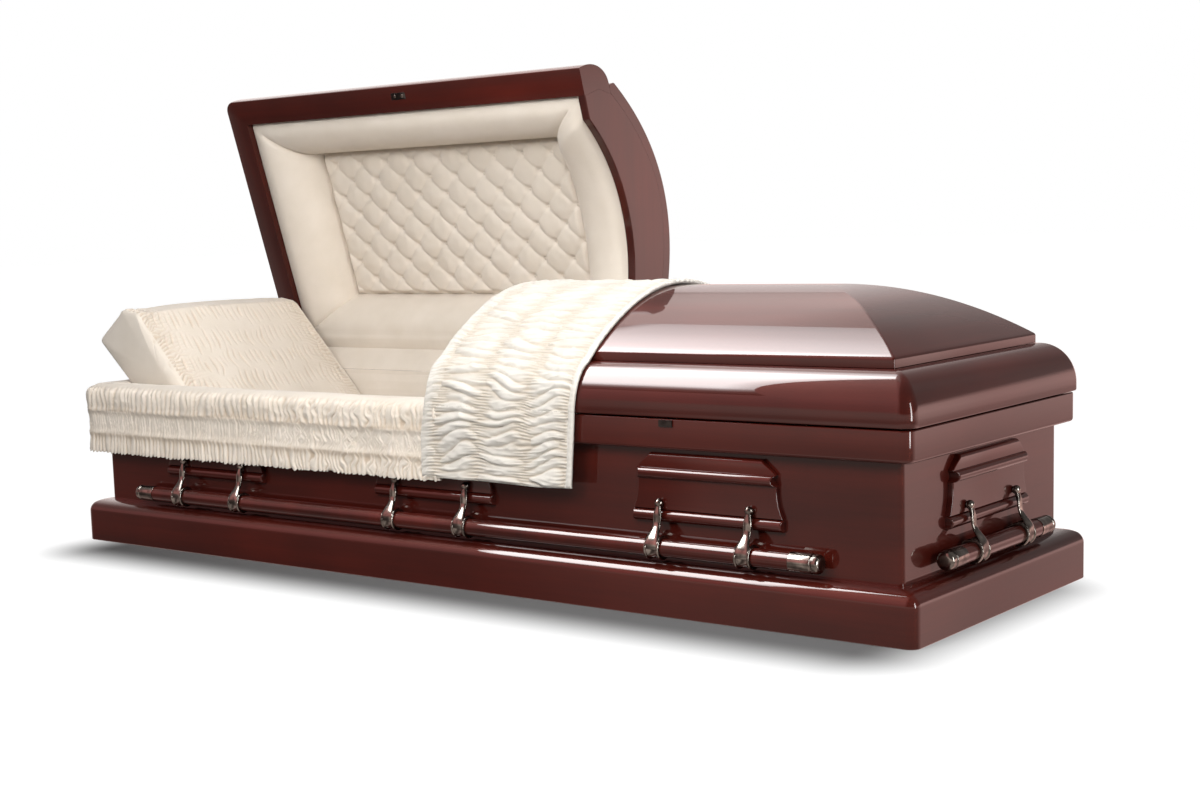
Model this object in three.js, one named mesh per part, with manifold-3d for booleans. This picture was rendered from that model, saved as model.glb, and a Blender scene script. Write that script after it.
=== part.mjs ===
// Half-couch hardwood casket: head lid raised, foot lid shut under a throw.
// Millimetres, +X to the foot end, -Y to the front, +Z up, origin under the middle of the base.
import * as THREE from 'three';
import { mergeVertices } from 'three/addons/utils/BufferGeometryUtils.js';
import Module from 'manifold-3d';

const wasm = await Module();
wasm.setup();

// Driving sizes of the box
const bodyLength = 2032;
const bodyWidth = 612;
const plinthProud = 44;
const plinthHeight = 94;
const plinthFace = 68;
const plinthRoundDepth = 34;
const plinthCorner = 20;
const bodyCorner = 10;
const wallThickness = 20;
const boardThickness = 18;
const railOverhang = 28;
const railTop = 354;
const railFace = 47;
const railRound = 8;
const railDepth = 54;
const railCorner = 20;
const innerCorner = 1;
const mitreReach = 120;

// Driving sizes of the lids
const lidGap = 3;
const rimOverhang = 6;
const rimWidth = 60;
const rimArris = 3;
const rimFoot = 15;
const rimRise = 76;
const rimCorner = 26;
const crownInset = 61;
const crownEdge = 17;
const crownRise = 107.5;
const crownThickness = 18;
const crownSteps = 10;
const splitPlace = 51;
const splitGap = 2;
const cutBoardThickness = 20;
const archRise = 71;
const archHalfWidth = 229;
const archPower = 2.1;
const openAngle = 73.2;

// Driving sizes of the hinges
const hingeRadius = 4;
const hingeHeight = 10;
const hingeLeaf = 2.4;
const hingeLength = 780;
const hingeKnuckles = 5;
const hingePlay = 0.8;
const hingePlate = 18;
const hingeStrap = 3;

// Driving sizes of the carrying handles
const earInset = 374;
const earDrop = 9;
const earLift = 43;
const earTopRound = 6;
const earLip = 2;
const earHollow = 2;
const earPlate = 10;
const earTopWidth = 233;
const earNoseWidth = 287;
const earRodWidth = 310;
const noseProud = 20;
const noseDrop = 26;
const noseHeight = 20;
const rodProud = 15;
const rodHeight = 22;
const armSpacing = 187;
const armRound = 6.3;
const armPivotLift = 13.5;
const armNeck = 10;
const armFoot = 36;
const armThickness = 8;
const armClear = 3;
const armEase = 3;
const bandRadius = 20;
const bandWidth = 32;
const barRadius = 16.5;
const barOut = 26;
const barLift = 28;
const sideBarInset = 134;
const endBarInset = 96;
const capLength = 58;
const capRadius = 17.6;
const capArris = 2;

// Driving sizes of the soft pieces
const liningThickness = 4;
const mattressTop = 160;
const mattressInset = 6;
const mattressCorner = 40;
const drapeThickness = 8;
const drapeRoll = 13;
const drapeRound = 6;
const drapeBottom = 210;
const drapeStop = 3;
const throwStart = 8;
const throwEnd = 385;
const throwThickness = 7;
const throwLift = 0.9;
const throwStand = 1.4;
const throwHem = 216;
const pillowLength = 417;
const pillowSide = 18;
const pillowThickness = 100;
const pillowCorner = 30;
const pillowSlope = 43;
const pillowClear = 17;
const rollAtHead = 117.4;
const rollAtCut = 135.4;
const rollAtFront = 107.4;
const rollAtBack = 75.4;
const panelHeight = 468;
const panelThickness = 18;
const panelCorner = 2;
const rollFoot = 4;
const rollSkirt = 0.33;

// Driving sizes of the catch plate and the latch tab
const catchPlace = -472;
const catchLength = 44;
const catchWidth = 16;
const catchThickness = 1.6;
const catchInset = 16;
const tabPlace = 575;
const tabLength = 28;
const tabThickness = 3;
const tabHeight = 12;
const tabDrop = 2;

// Clearances between neighbours
const gap = 0.3;
const mitreGap = gap * Math.SQRT1_2;

// Sizes that follow
const bodyHalfX = bodyLength / 2;
const bodyHalfY = bodyWidth / 2;
const plinthHalfX = bodyHalfX + plinthProud;
const plinthHalfY = bodyHalfY + plinthProud;
const railHalfX = bodyHalfX + railOverhang;
const railHalfY = bodyHalfY + railOverhang;
const railInnerX = railHalfX - railDepth;
const railInnerY = railHalfY - railDepth;
const railBottom = railTop - railFace - railRound;
const rimHalfX = railHalfX + rimOverhang;
const rimHalfY = railHalfY + rimOverhang;
const rimBottom = railTop + lidGap;
const rimTop = rimBottom + rimFoot + rimRise;
const rimInnerX = rimHalfX - rimWidth;
const rimInnerY = rimHalfY - rimWidth;
const crownHalfX = rimHalfX - crownInset;
const crownHalfY = rimHalfY - crownInset;
const crownBase = rimTop + gap;
const crownFoot = crownBase + crownEdge;
const hingeY = rimHalfY + gap + hingeLeaf + hingePlay / 2 + hingeRadius;
const hingeZ = railTop + hingeHeight;
const headEnd = splitPlace - splitGap / 2;
const footEnd = splitPlace + splitGap / 2;
const rimInnerTop = rimTop - rimRise / 2;
const liningTop = railTop - gap;
const drapeOut = 2 * gap + drapeThickness;
const barHeight = plinthHeight + barLift;
const earBottom = barHeight + earLift;
const earTop = railBottom - earDrop;
const noseTop = earTop - noseDrop;
const armPivotHeight = earBottom + rodHeight + armPivotLift;
const earPlace = bodyHalfX - earInset;

// Reach of the cutting solids, and how finely the curves are stepped
const far = 2 * plinthHalfX;
const quarterSteps = 6;
const coarseSteps = 3;
const turnedSides = 12;
const eyeSteps = 4;
const tiny = 1e-6;

const paint = {
  wood: { color: 0x4a1512, roughness: 0.12, metalness: 0 },
  inside: { color: 0x7a4a36, roughness: 0.7, metalness: 0 },
  metal: { color: 0x6f6961, roughness: 0.25, metalness: 0.9 },
  cloth: { color: 0xe4d6c2, roughness: 0.85, metalness: 0 },
};

const bodies = {};
const casket = new THREE.Group();

function piece(parent, name, geometry, look) {
  const mesh = new THREE.Mesh(geometry, new THREE.MeshStandardMaterial(paint[look]));
  mesh.name = name;
  parent.add(mesh);
  return mesh;
}

// Solids are joined and cut through manifold-3d
function toSolid(geometry) {
  const bare = geometry.clone();
  bare.deleteAttribute('normal');
  bare.deleteAttribute('uv');
  const merged = mergeVertices(bare, 1e-4);
  return new wasm.Manifold(new wasm.Mesh({
    numProp: 3,
    vertProperties: new Float32Array(merged.attributes.position.array),
    triVerts: new Uint32Array(merged.index.array),
  }));
}

function toGeometry(solid) {
  const mesh = solid.getMesh();
  const geometry = new THREE.BufferGeometry();
  geometry.setAttribute('position', new THREE.BufferAttribute(mesh.vertProperties, 3));
  geometry.setIndex(new THREE.BufferAttribute(mesh.triVerts, 1));
  geometry.computeVertexNormals();
  return geometry;
}

const common = (a, b) => toGeometry(toSolid(a).intersect(toSolid(b)));
const without = (a, b) => toGeometry(toSolid(a).subtract(toSolid(b)));
const joined = (list) => toGeometry(list.map(toSolid).reduce((sum, next) => sum.add(next)));

// Extrusions of a point outline along one axis
function outline(points) {
  return new THREE.Shape(points.map(([a, b]) => new THREE.Vector2(a, b)));
}

function extrude(points, length) {
  return new THREE.ExtrudeGeometry(outline(points), { depth: length, bevelEnabled: false });
}

function alongX(points, start, end) {
  const turn = new THREE.Matrix4().makeBasis(
    new THREE.Vector3(0, 1, 0), new THREE.Vector3(0, 0, 1), new THREE.Vector3(1, 0, 0));
  return extrude(points, end - start).applyMatrix4(turn).translate(start, 0, 0);
}

function alongY(points, start, end) {
  const turn = new THREE.Matrix4().makeBasis(
    new THREE.Vector3(1, 0, 0), new THREE.Vector3(0, 0, 1), new THREE.Vector3(0, -1, 0));
  return extrude(points, end - start).applyMatrix4(turn).translate(0, end, 0);
}

function alongZ(points, start, end) {
  return extrude(points, end - start).translate(0, 0, start);
}

function block(x0, x1, y0, y1, z0, z1) {
  return new THREE.BoxGeometry(x1 - x0, y1 - y0, z1 - z0)
    .translate((x0 + x1) / 2, (y0 + y1) / 2, (z0 + z1) / 2);
}

// Points on an arc of an ellipse, angles in degrees
function arc(cx, cy, rx, ry, from, to, steps) {
  return Array.from({ length: steps + 1 }, (_, i) => {
    const angle = THREE.MathUtils.degToRad(from + ((to - from) * i) / steps);
    return [cx + rx * Math.cos(angle), cy + ry * Math.sin(angle)];
  });
}

// A rectangle with rounded corners, counter-clockwise
function roundedRectangle({ cx = 0, cy = 0, hx, hy, corner }, steps = quarterSteps) {
  const centres = [[1, 1, 0], [-1, 1, 90], [-1, -1, 180], [1, -1, 270]];
  return centres.flatMap(([sx, sy, from]) =>
    arc(cx + sx * (hx - corner), cy + sy * (hy - corner), corner, corner, from, from + 90, steps));
}

// A closed profile of [inset, height] carried round the rectangle that rectangleAt gives
function ring(profile, rectangleAt, steps = quarterSteps) {
  const loops = profile.map(([inset, z]) =>
    roundedRectangle(rectangleAt(inset), steps).map(([x, y]) => [x, y, z]));
  const count = loops[0].length;
  const index = [];
  for (let i = 0; i < loops.length; i += 1) {
    const next = (i + 1) % loops.length;
    for (let j = 0; j < count; j += 1) {
      const side = (j + 1) % count;
      index.push(i * count + j, i * count + side, next * count + side);
      index.push(i * count + j, next * count + side, next * count + j);
    }
  }
  const geometry = new THREE.BufferGeometry();
  geometry.setAttribute('position', new THREE.Float32BufferAttribute(loops.flat(2), 3));
  geometry.setIndex(index);
  return geometry;
}

const insetRectangle = (hx, hy, corner, keep = innerCorner) => (inset) => ({
  hx: hx - inset, hy: hy - inset, corner: Math.max(keep, corner - inset),
});

// The four mitred lengths of a ring
function mitredLengths(geometry, hx, hy) {
  const reach = hy + mitreReach;
  const inner = hx - hy;
  const front = [
    [-inner - reach + mitreGap, -reach], [inner + reach - mitreGap, -reach],
    [inner - mitreGap, 0], [-inner + mitreGap, 0],
  ];
  const footX = inner + mitreGap;
  const foot = [[footX + reach, -reach], [footX + reach, reach], [footX, 0]];
  const turned = (points) => points.map(([x, y]) => [-x, -y]);
  const prism = (points) => alongZ(points, -far, far);
  return {
    front: common(geometry, prism(front)),
    back: common(geometry, prism(turned(front))),
    foot: common(geometry, prism(foot)),
    head: common(geometry, prism(turned(foot))),
  };
}

function addLengths(parent, name, geometry, hx, hy, look) {
  for (const [side, length] of Object.entries(mitredLengths(geometry, hx, hy))) {
    piece(parent, `${name}_${side}`, length, look);
  }
}

// The box: plinth moulding, walls, base board and top rail
function buildBox() {
  const depth = plinthProud - gap;
  const shoulderRise = plinthHeight - plinthFace;
  const shoulder = arc(plinthRoundDepth, plinthFace, plinthRoundDepth, shoulderRise, 180, 90, quarterSteps);
  const plinth = ring([[0, 0], ...shoulder, [depth, plinthHeight], [depth, 0]],
    insetRectangle(plinthHalfX, plinthHalfY, plinthCorner, bodyCorner));
  addLengths(bodies.casket, 'plinth', plinth, plinthHalfX, plinthHalfY, 'wood');

  const wallTop = railBottom - gap;
  const walls = ring([[0, 0], [0, wallTop], [wallThickness, wallTop], [wallThickness, 0]],
    insetRectangle(bodyHalfX, bodyHalfY, bodyCorner));
  addLengths(bodies.casket, 'wall', walls, bodyHalfX, bodyHalfY, 'wood');

  const boardX = bodyHalfX - wallThickness - gap;
  const boardY = bodyHalfY - wallThickness - gap;
  piece(bodies.casket, 'base_board', block(-boardX, boardX, -boardY, boardY, 0, boardThickness), 'inside');

  const underRound = arc(railRound, railBottom + railRound, railRound, railRound, 270, 180, coarseSteps);
  const rail = ring([...underRound, [0, railTop - rimArris], [rimArris, railTop], [railDepth, railTop],
    [railDepth, railBottom]], insetRectangle(railHalfX, railHalfY, railCorner));
  addLengths(bodies.casket, 'rail', rail, railHalfX, railHalfY, 'wood');
}

// Height of the crown's outer face above its foot, at a distance in from its edge
function crownHeight(distance) {
  const share = 1 - distance / crownHalfY;
  return crownRise * (1 - share * share);
}

function crownSection(half, flat, sink) {
  const reach = half - sink;
  const steps = Array.from({ length: crownSteps + 1 }, (_, i) => (crownHalfY * i) / crownSteps);
  const rise = steps.map((distance) => [reach - distance, crownFoot + crownHeight(distance) - sink])
    .filter(([across]) => across > flat - tiny);
  const mirrored = rise.map(([across, z]) => [-across, z]).reverse();
  if (flat < tiny) {
    mirrored.shift();
  }
  const bottom = sink > 0 ? -far : crownBase;
  return [[-reach, bottom], [reach, bottom], ...rise, ...mirrored];
}

// The hipped crown: the arch across met by the arch along
function crownDome(sink) {
  const across = alongX(crownSection(crownHalfY, 0, sink), -far, far);
  const along = alongY(crownSection(crownHalfX, crownHalfX - crownHalfY - sink, sink), -far, far);
  return common(across, along);
}

function rimRing() {
  const noseDepth = crownInset - rimArris;
  const nose = arc(noseDepth, rimBottom + rimFoot, noseDepth, rimRise, 180, 90, quarterSteps);
  const seat = crownInset + crownThickness + rimArris;
  const profile = [[rimArris, rimBottom], [0, rimBottom + rimArris], ...nose, [seat, rimTop],
    [rimWidth, rimInnerTop], [rimWidth, rimBottom]];
  return ring(profile, (inset) => ({
    hx: rimHalfX - inset,
    hy: rimHalfY - inset,
    corner: Math.max(rimArris, rimCorner * (1 - inset / crownInset)),
  }));
}

// The arched board that closes a lid's cut end, within the rim and the crown
function cutBoard(start) {
  const end = start + cutBoardThickness;
  const dome = alongX(crownSection(crownHalfY, 0, crownThickness + gap), start, end);
  const seat = crownHalfY - crownThickness - rimArris - gap;
  const inner = rimInnerY - gap;
  const shoulder = rimInnerTop - gap;
  const slab = alongX([[-inner, rimBottom], [inner, rimBottom], [inner, shoulder], [seat, rimTop],
    [seat, far], [-seat, far], [-seat, rimTop], [-inner, shoulder]], start, end);
  const lower = block(start, end, -inner, inner, rimBottom, rimTop);
  const arch = Array.from({ length: 2 * crownSteps + 1 }, (_, i) => {
    const share = i / crownSteps - 1;
    return [archHalfWidth * share, rimBottom + archRise * (1 - Math.abs(share) ** archPower)];
  });
  const opening = alongX([[-archHalfWidth, 0], [archHalfWidth, 0], ...arch.reverse()], -far, far);
  return without(common(slab, joined([dome, lower])), opening);
}

function lidHalf(geometry, side) {
  const head = block(-far, headEnd, -far, far, -far, far);
  const foot = block(footEnd, far, -far, far, -far, far);
  return common(geometry, side === 'head' ? head : foot);
}

// One side of a butt hinge with its own knuckles
function hingeHalf(centre, fixed) {
  const pitch = hingeLength / hingeKnuckles;
  const start = centre - hingeLength / 2;
  const foot = fixed ? railHalfY + gap : rimHalfY + gap;
  const low = fixed ? railBottom + railRound + rimArris : hingeZ - hingeRadius / 2;
  const high = fixed ? railTop : hingeZ + hingePlate;
  const plate = [[foot, low], [foot + hingeLeaf, low], [foot + hingeLeaf, high], [foot, high]];
  const half = hingeLeaf / 2;
  const slanted = [
    [foot, railTop - 2 * hingeStrap], [foot + hingeLeaf, railTop - 3 * hingeStrap],
    [hingeY + half, hingeZ - 2 * hingeStrap], [hingeY + half, hingeZ],
    [hingeY - hingeRadius / 2, hingeZ], [hingeY - hingeStrap, hingeZ - 2 * hingeStrap - half],
  ];
  const level = [
    [foot + half, hingeZ - half], [hingeY, hingeZ - half],
    [hingeY, hingeZ + half], [foot + half, hingeZ + half],
  ];
  const solids = [alongX(plate, start, start + hingeLength)];
  for (let i = fixed ? 0 : 1; i < hingeKnuckles; i += 2) {
    const from = start + i * pitch + hingePlay;
    const to = start + (i + 1) * pitch - hingePlay;
    const knuckle = new THREE.CylinderGeometry(hingeRadius, hingeRadius, to - from, turnedSides);
    solids.push(knuckle.rotateZ(Math.PI / 2).translate((from + to) / 2, hingeY, hingeZ));
    solids.push(alongX(fixed ? slanted : level, from, to));
  }
  return joined(solids);
}

// The padded roll round the lid's tufted panel, from the outer rectangle to the inner one
function lidRoll(outer, inner) {
  const rectangleAt = (share) => {
    const [x0, x1, y0, y1] = outer.map((edge, i) => edge + (inner[i] - edge) * share);
    return {
      cx: (x0 + x1) / 2, cy: (y0 + y1) / 2, hx: (x1 - x0) / 2, hy: (y1 - y0) / 2, corner: panelCorner,
    };
  };
  const foot = rimBottom + rollFoot;
  const rise = panelHeight - foot;
  const face = arc(0, panelHeight, 1, rise, 270, 360, quarterSteps);
  const profile = [...face, [1, panelHeight + panelThickness], [0, foot + rise * rollSkirt]];
  return ring(profile.reverse(), rectangleAt, 1);
}

function addLid(parent, side) {
  const rim = rimRing();
  const shell = without(crownDome(0), crownDome(crownThickness));
  piece(parent, `${side}_lid_rim`, lidHalf(rim, side), 'wood');
  piece(parent, `${side}_lid_crown`, lidHalf(shell, side), 'wood');
  const boardStart = side === 'head' ? headEnd - cutBoardThickness : footEnd;
  piece(parent, `${side}_lid_cut_board`, cutBoard(boardStart), 'wood');
  const middle = side === 'head' ? (headEnd - rimHalfX) / 2 : (footEnd + rimHalfX) / 2;
  piece(parent, `${side}_hinge_moving_leaf`, hingeHalf(middle, false), 'metal');
  piece(bodies.casket, `${side}_hinge_fixed_leaf`, hingeHalf(middle, true), 'metal');
}

// What the head lid alone carries: padded roll, tufted panel and catch plate
function addHeadLidFittings(parent) {
  const clear = 2 * gap;
  const outer = [
    clear - rimInnerX, headEnd - cutBoardThickness - clear, clear - rimInnerY, rimInnerY - clear,
  ];
  const inner = [outer[0] + rollAtHead, outer[1] - rollAtCut, outer[2] + rollAtFront, outer[3] - rollAtBack];
  piece(parent, 'lid_padded_roll', lidRoll(outer, inner), 'cloth');
  const panel = roundedRectangle({
    cx: (inner[0] + inner[1]) / 2,
    cy: (inner[2] + inner[3]) / 2,
    hx: (inner[1] - inner[0]) / 2 - gap,
    hy: (inner[3] - inner[2]) / 2 - gap,
    corner: panelCorner,
  }, 1);
  piece(parent, 'lid_tufted_panel', alongZ(panel, panelHeight, panelHeight + panelThickness), 'cloth');
  const plateFront = -rimHalfY + catchInset;
  const plateTop = rimBottom - gap;
  const plate = block(catchPlace - catchLength / 2, catchPlace + catchLength / 2,
    plateFront, plateFront + catchWidth, plateTop - catchThickness, plateTop);
  piece(parent, 'lid_catch_plate', plate, 'metal');
}

// One wooden ear in its own frame: X along the wall, -Y out from it
function earShape() {
  const noseBottom = noseTop - noseHeight;
  const noseRound = noseHeight / 2;
  const rodRound = rodHeight / 2;
  const rodTop = earBottom + rodHeight;
  const nose = arc(noseRound - noseProud, noseTop - noseRound, noseRound, noseRound, 90, 270, quarterSteps);
  const rod = arc(-rodProud + rodRound, earBottom + rodRound, rodRound, rodRound, 90, 270, quarterSteps);
  const side = [[0, earTop], [-earPlate / 2, earTop], [-earPlate - earLip, earTop - earTopRound], ...nose,
    [-earPlate, noseBottom], ...rod, [0, earBottom]];
  const half = [
    [earRodWidth / 2, earBottom], [earRodWidth / 2, rodTop],
    [(earRodWidth + earNoseWidth) / 4 - earHollow, (rodTop + noseBottom) / 2],
    [earNoseWidth / 2, noseBottom], [earNoseWidth / 2, noseTop], [earTopWidth / 2, earTop],
  ];
  const mirrored = half.map(([x, z]) => [-x, z]).reverse();
  return common(alongX(side, -far, far), alongY([...half, ...mirrored], -far, far));
}

// A piece turned about the bar's line, from [radius, place along it]
function turned(profile) {
  return new THREE.LatheGeometry(profile.map(([r, along]) => new THREE.Vector2(r, along)), turnedSides)
    .rotateZ(Math.PI / 2).translate(0, -barOut, barHeight);
}

// One cast arm in the same frame: round eye, tapering neck and the band round the bar
function armShape() {
  const pivotOut = earPlate + gap + armRound;
  const rodTop = earBottom + rodHeight;
  const inner = -rodProud - armClear;
  const outer = inner - armThickness;
  const bandTop = barHeight + bandRadius - 2 * armEase;
  const side = [
    [-pivotOut + armEase, armPivotHeight], [-pivotOut - armEase, armPivotHeight],
    [outer, rodTop - armEase], [outer, earBottom],
    [-barOut - bandRadius / 2 - armEase, bandTop], [-barOut + bandRadius / 2, bandTop],
    [inner, earBottom - 2 * armEase], [inner, rodTop - 2 * armEase],
  ];
  const half = [
    [armFoot / 2 - armEase, bandTop], [armNeck / 2 + armEase, earBottom - armEase],
    [armNeck / 2, rodTop - armEase], [armNeck / 2 - armEase / 3, armPivotHeight],
  ];
  const mirrored = half.map(([x, z]) => [-x, z]).reverse();
  const stem = common(alongX(side, -far, far), alongY([...half, ...mirrored], -far, far));
  const eye = new THREE.SphereGeometry(armRound, 2 * eyeSteps, eyeSteps).rotateX(Math.PI / 2)
    .translate(0, -pivotOut, armPivotHeight);
  const bore = barRadius + gap;
  const reach = bandWidth / 2;
  const band = turned([
    [bore, -reach], [bandRadius, -reach], [bandRadius, reach], [bore, reach], [bore, -reach],
  ]);
  const hole = turned([[0, -bandWidth], [bore, -bandWidth], [bore, bandWidth], [0, bandWidth]]);
  return joined([eye, without(stem, hole), band]);
}

function barShape(half) {
  const capEnd = half - capLength;
  const upper = [[barRadius, capEnd - gap], [capRadius, capEnd], [capRadius, half - capArris],
    [capRadius - capArris, half], [0, half]];
  const lower = upper.map(([r, along]) => [r, -along]).reverse();
  return turned([...lower, ...upper]);
}

// A wall's handle: ears stay on the casket, arms and bar swing together
function addHandle(side, turn, wallDistance, earPlaces, barHalf) {
  const place = (geometry, x) => geometry.clone().translate(x, -wallDistance, 0)
    .rotateZ(THREE.MathUtils.degToRad(turn));
  const names = earPlaces.length > 1 ? ['left', 'middle', 'right'] : ['middle'];
  const ear = earShape().translate(0, -gap, 0);
  const arm = armShape().translate(0, -gap, 0);
  const bar = barShape(barHalf).translate(0, -gap, 0);
  earPlaces.forEach((x, i) => {
    piece(bodies.casket, `ear_${side}_${names[i]}`, place(ear, x), 'wood');
    piece(bodies[`${side}_handle`], `arm_${side}_${names[i]}_a`, place(arm, x - armSpacing / 2), 'metal');
    piece(bodies[`${side}_handle`], `arm_${side}_${names[i]}_b`, place(arm, x + armSpacing / 2), 'metal');
  });
  piece(bodies[`${side}_handle`], `bar_${side}`, place(bar, 0), 'wood');
}

// Cloth and padding that stay in the box
function addBedding() {
  const outerX = railInnerX - gap;
  const outerY = railInnerY - gap;
  const low = boardThickness + gap;
  const lining = ring([[0, low], [0, liningTop], [liningThickness, liningTop], [liningThickness, low]],
    insetRectangle(outerX, outerY, liningThickness));
  piece(bodies.casket, 'box_lining', lining, 'cloth');

  const inset = liningThickness + mattressInset;
  const plan = roundedRectangle({
    hx: outerX - inset, hy: outerY - inset, corner: mattressCorner,
  }, coarseSteps);
  piece(bodies.casket, 'mattress', alongZ(plan, low, mattressTop), 'cloth');

  const slope = THREE.MathUtils.degToRad(pillowSlope);
  const halfLength = pillowLength / 2;
  const halfThickness = pillowThickness / 2;
  const side = roundedRectangle({ hx: halfLength, hy: halfThickness, corner: pillowCorner }, coarseSteps);
  const pillowHalfWidth = railInnerY - pillowSide;
  const pillow = alongY(side, -pillowHalfWidth, pillowHalfWidth).rotateY(slope);
  const lowest = pillowCorner + Math.sin(slope) * (halfLength - pillowCorner)
    + Math.cos(slope) * (halfThickness - pillowCorner);
  const middleZ = mattressTop + lowest + 2 * gap;
  const underside = halfThickness / Math.cos(slope);
  const middleX = -railInnerX + (railTop + pillowClear - middleZ + underside) / Math.tan(slope);
  piece(bodies.casket, 'pillow', pillow.translate(middleX, 0, middleZ), 'cloth');
}

// The gathered cloth over the front and head rails
function addExtendover() {
  const clear = 2 * gap;
  const top = railTop + drapeRoll;
  const tuck = railDepth + liningThickness;
  const profile = [
    [-drapeOut, drapeBottom], [-drapeOut, top - drapeRound], [drapeRound - drapeOut, top], [railDepth, top],
    [tuck, top - drapeRound], [tuck, railTop + gap], [-clear, railTop + gap], [-clear, drapeBottom],
  ];
  const cloth = ring(profile, insetRectangle(railHalfX, railHalfY, railCorner));
  const inward = 2 * railDepth;
  const stop = headEnd - drapeStop;
  const back = railInnerY - drapeThickness;
  const plan = [
    [-far, -far], [stop, -far], [stop, -railHalfY + inward],
    [-railHalfX + inward, -railHalfY + inward],
    [-railHalfX + inward, back], [-far, back],
  ];
  piece(bodies.casket, 'extendover', common(cloth, alongZ(plan, 0, far)), 'cloth');
}

// The throw: up the front, over the rim's round and across the crown
function addThrow(parent) {
  const noseDepth = crownInset - rimArris;
  const hangY = railHalfY + drapeOut + throwStand;
  const layer = (lift, front) => {
    const nose = arc(rimHalfY - noseDepth, rimBottom + rimFoot, noseDepth + lift, rimRise + lift,
      0, 90, quarterSteps);
    const steps = Array.from({ length: crownSteps + 1 }, (_, i) => (crownHalfY * i) / crownSteps);
    const dome = steps.map((distance) => [crownHalfY - distance + lift * (1 - distance / crownHalfY),
      crownFoot + crownHeight(distance) + lift]);
    const rise = [[front, throwHem], [front, rimBottom + drapeRoll], ...nose, ...dome]
      .map(([across, z]) => [-across, z]);
    return [...rise, ...dome.slice(0, -1).reverse()];
  };
  const inner = layer(throwLift, hangY);
  const outer = layer(throwLift + throwThickness, hangY + throwThickness);
  piece(parent, 'throw', alongX([...outer, ...inner.reverse()], throwStart, throwEnd), 'cloth');
}

function addLatchTab() {
  const back = -railHalfY - gap;
  const top = railTop - tabDrop;
  const tab = block(tabPlace - tabLength / 2, tabPlace + tabLength / 2, back - tabThickness, back,
    top - tabHeight, top);
  piece(bodies.casket, 'latch_tab', tab, 'metal');
}

const bodyNames = [
  'casket', 'head_lid', 'foot_lid', 'front_handle', 'back_handle', 'head_handle', 'foot_handle',
];
for (const name of bodyNames) {
  bodies[name] = new THREE.Group();
}

// The head lid's pieces are drawn shut and turned open about the hinge pin
const headLidTurn = new THREE.Group();
headLidTurn.position.set(0, hingeY, hingeZ);
headLidTurn.rotation.x = -THREE.MathUtils.degToRad(openAngle);
bodies.head_lid.position.set(0, -hingeY, -hingeZ);
headLidTurn.add(bodies.head_lid);

buildBox();
addLid(bodies.head_lid, 'head');
addLid(bodies.foot_lid, 'foot');
addHeadLidFittings(bodies.head_lid);
addBedding();
addExtendover();
addThrow(bodies.foot_lid);
addLatchTab();
addHandle('front', 0, bodyHalfY, [-earPlace, 0, earPlace], bodyHalfX - sideBarInset);
addHandle('back', 180, bodyHalfY, [-earPlace, 0, earPlace], bodyHalfX - sideBarInset);
addHandle('head', -90, bodyHalfX, [0], bodyHalfY - endBarInset);
addHandle('foot', 90, bodyHalfX, [0], bodyHalfY - endBarInset);

casket.add(bodies.casket, headLidTurn, bodies.foot_lid);
casket.add(bodies.front_handle, bodies.back_handle, bodies.head_handle, bodies.foot_handle);

export default casket;
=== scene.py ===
# Half-couch hardwood casket: head lid raised, foot lid shut under a throw.
# Metres, +X to the foot end, -Y to the front, +Z up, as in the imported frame.
import math

import bmesh
import bpy
import numpy as np
from mathutils import Matrix


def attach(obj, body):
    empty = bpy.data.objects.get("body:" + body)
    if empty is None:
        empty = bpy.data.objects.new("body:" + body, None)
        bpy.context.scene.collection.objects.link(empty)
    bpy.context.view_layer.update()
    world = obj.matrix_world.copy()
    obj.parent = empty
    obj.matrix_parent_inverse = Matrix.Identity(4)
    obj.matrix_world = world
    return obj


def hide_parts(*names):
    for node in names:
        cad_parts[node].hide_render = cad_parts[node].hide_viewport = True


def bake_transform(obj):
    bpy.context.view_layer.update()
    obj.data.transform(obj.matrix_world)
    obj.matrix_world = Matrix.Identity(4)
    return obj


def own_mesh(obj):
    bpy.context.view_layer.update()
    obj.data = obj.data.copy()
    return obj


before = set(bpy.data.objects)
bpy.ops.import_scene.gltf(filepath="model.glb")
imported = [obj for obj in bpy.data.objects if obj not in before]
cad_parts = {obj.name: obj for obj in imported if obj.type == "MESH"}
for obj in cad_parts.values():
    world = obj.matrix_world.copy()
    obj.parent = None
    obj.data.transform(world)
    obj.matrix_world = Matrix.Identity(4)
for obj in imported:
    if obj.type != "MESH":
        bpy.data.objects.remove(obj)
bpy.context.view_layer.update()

# Sizes of the box
BODY_X = 1.016
BODY_Y = 0.306
BODY_CORNER = 0.010
WALL = 0.020
WALL_TOP = 0.2987
PLINTH_PROUD = 0.044
PLINTH_TOP = 0.094
PLINTH_FACE = 0.068
PLINTH_ROUND = 0.034
PLINTH_CORNER = 0.020
RAIL_X = 1.044
RAIL_Y = 0.334
RAIL_BOTTOM = 0.299
RAIL_TOP = 0.354
RAIL_ROUND = 0.008
RAIL_DEPTH = 0.054
RAIL_CORNER = 0.020
ARRIS = 0.003

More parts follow.
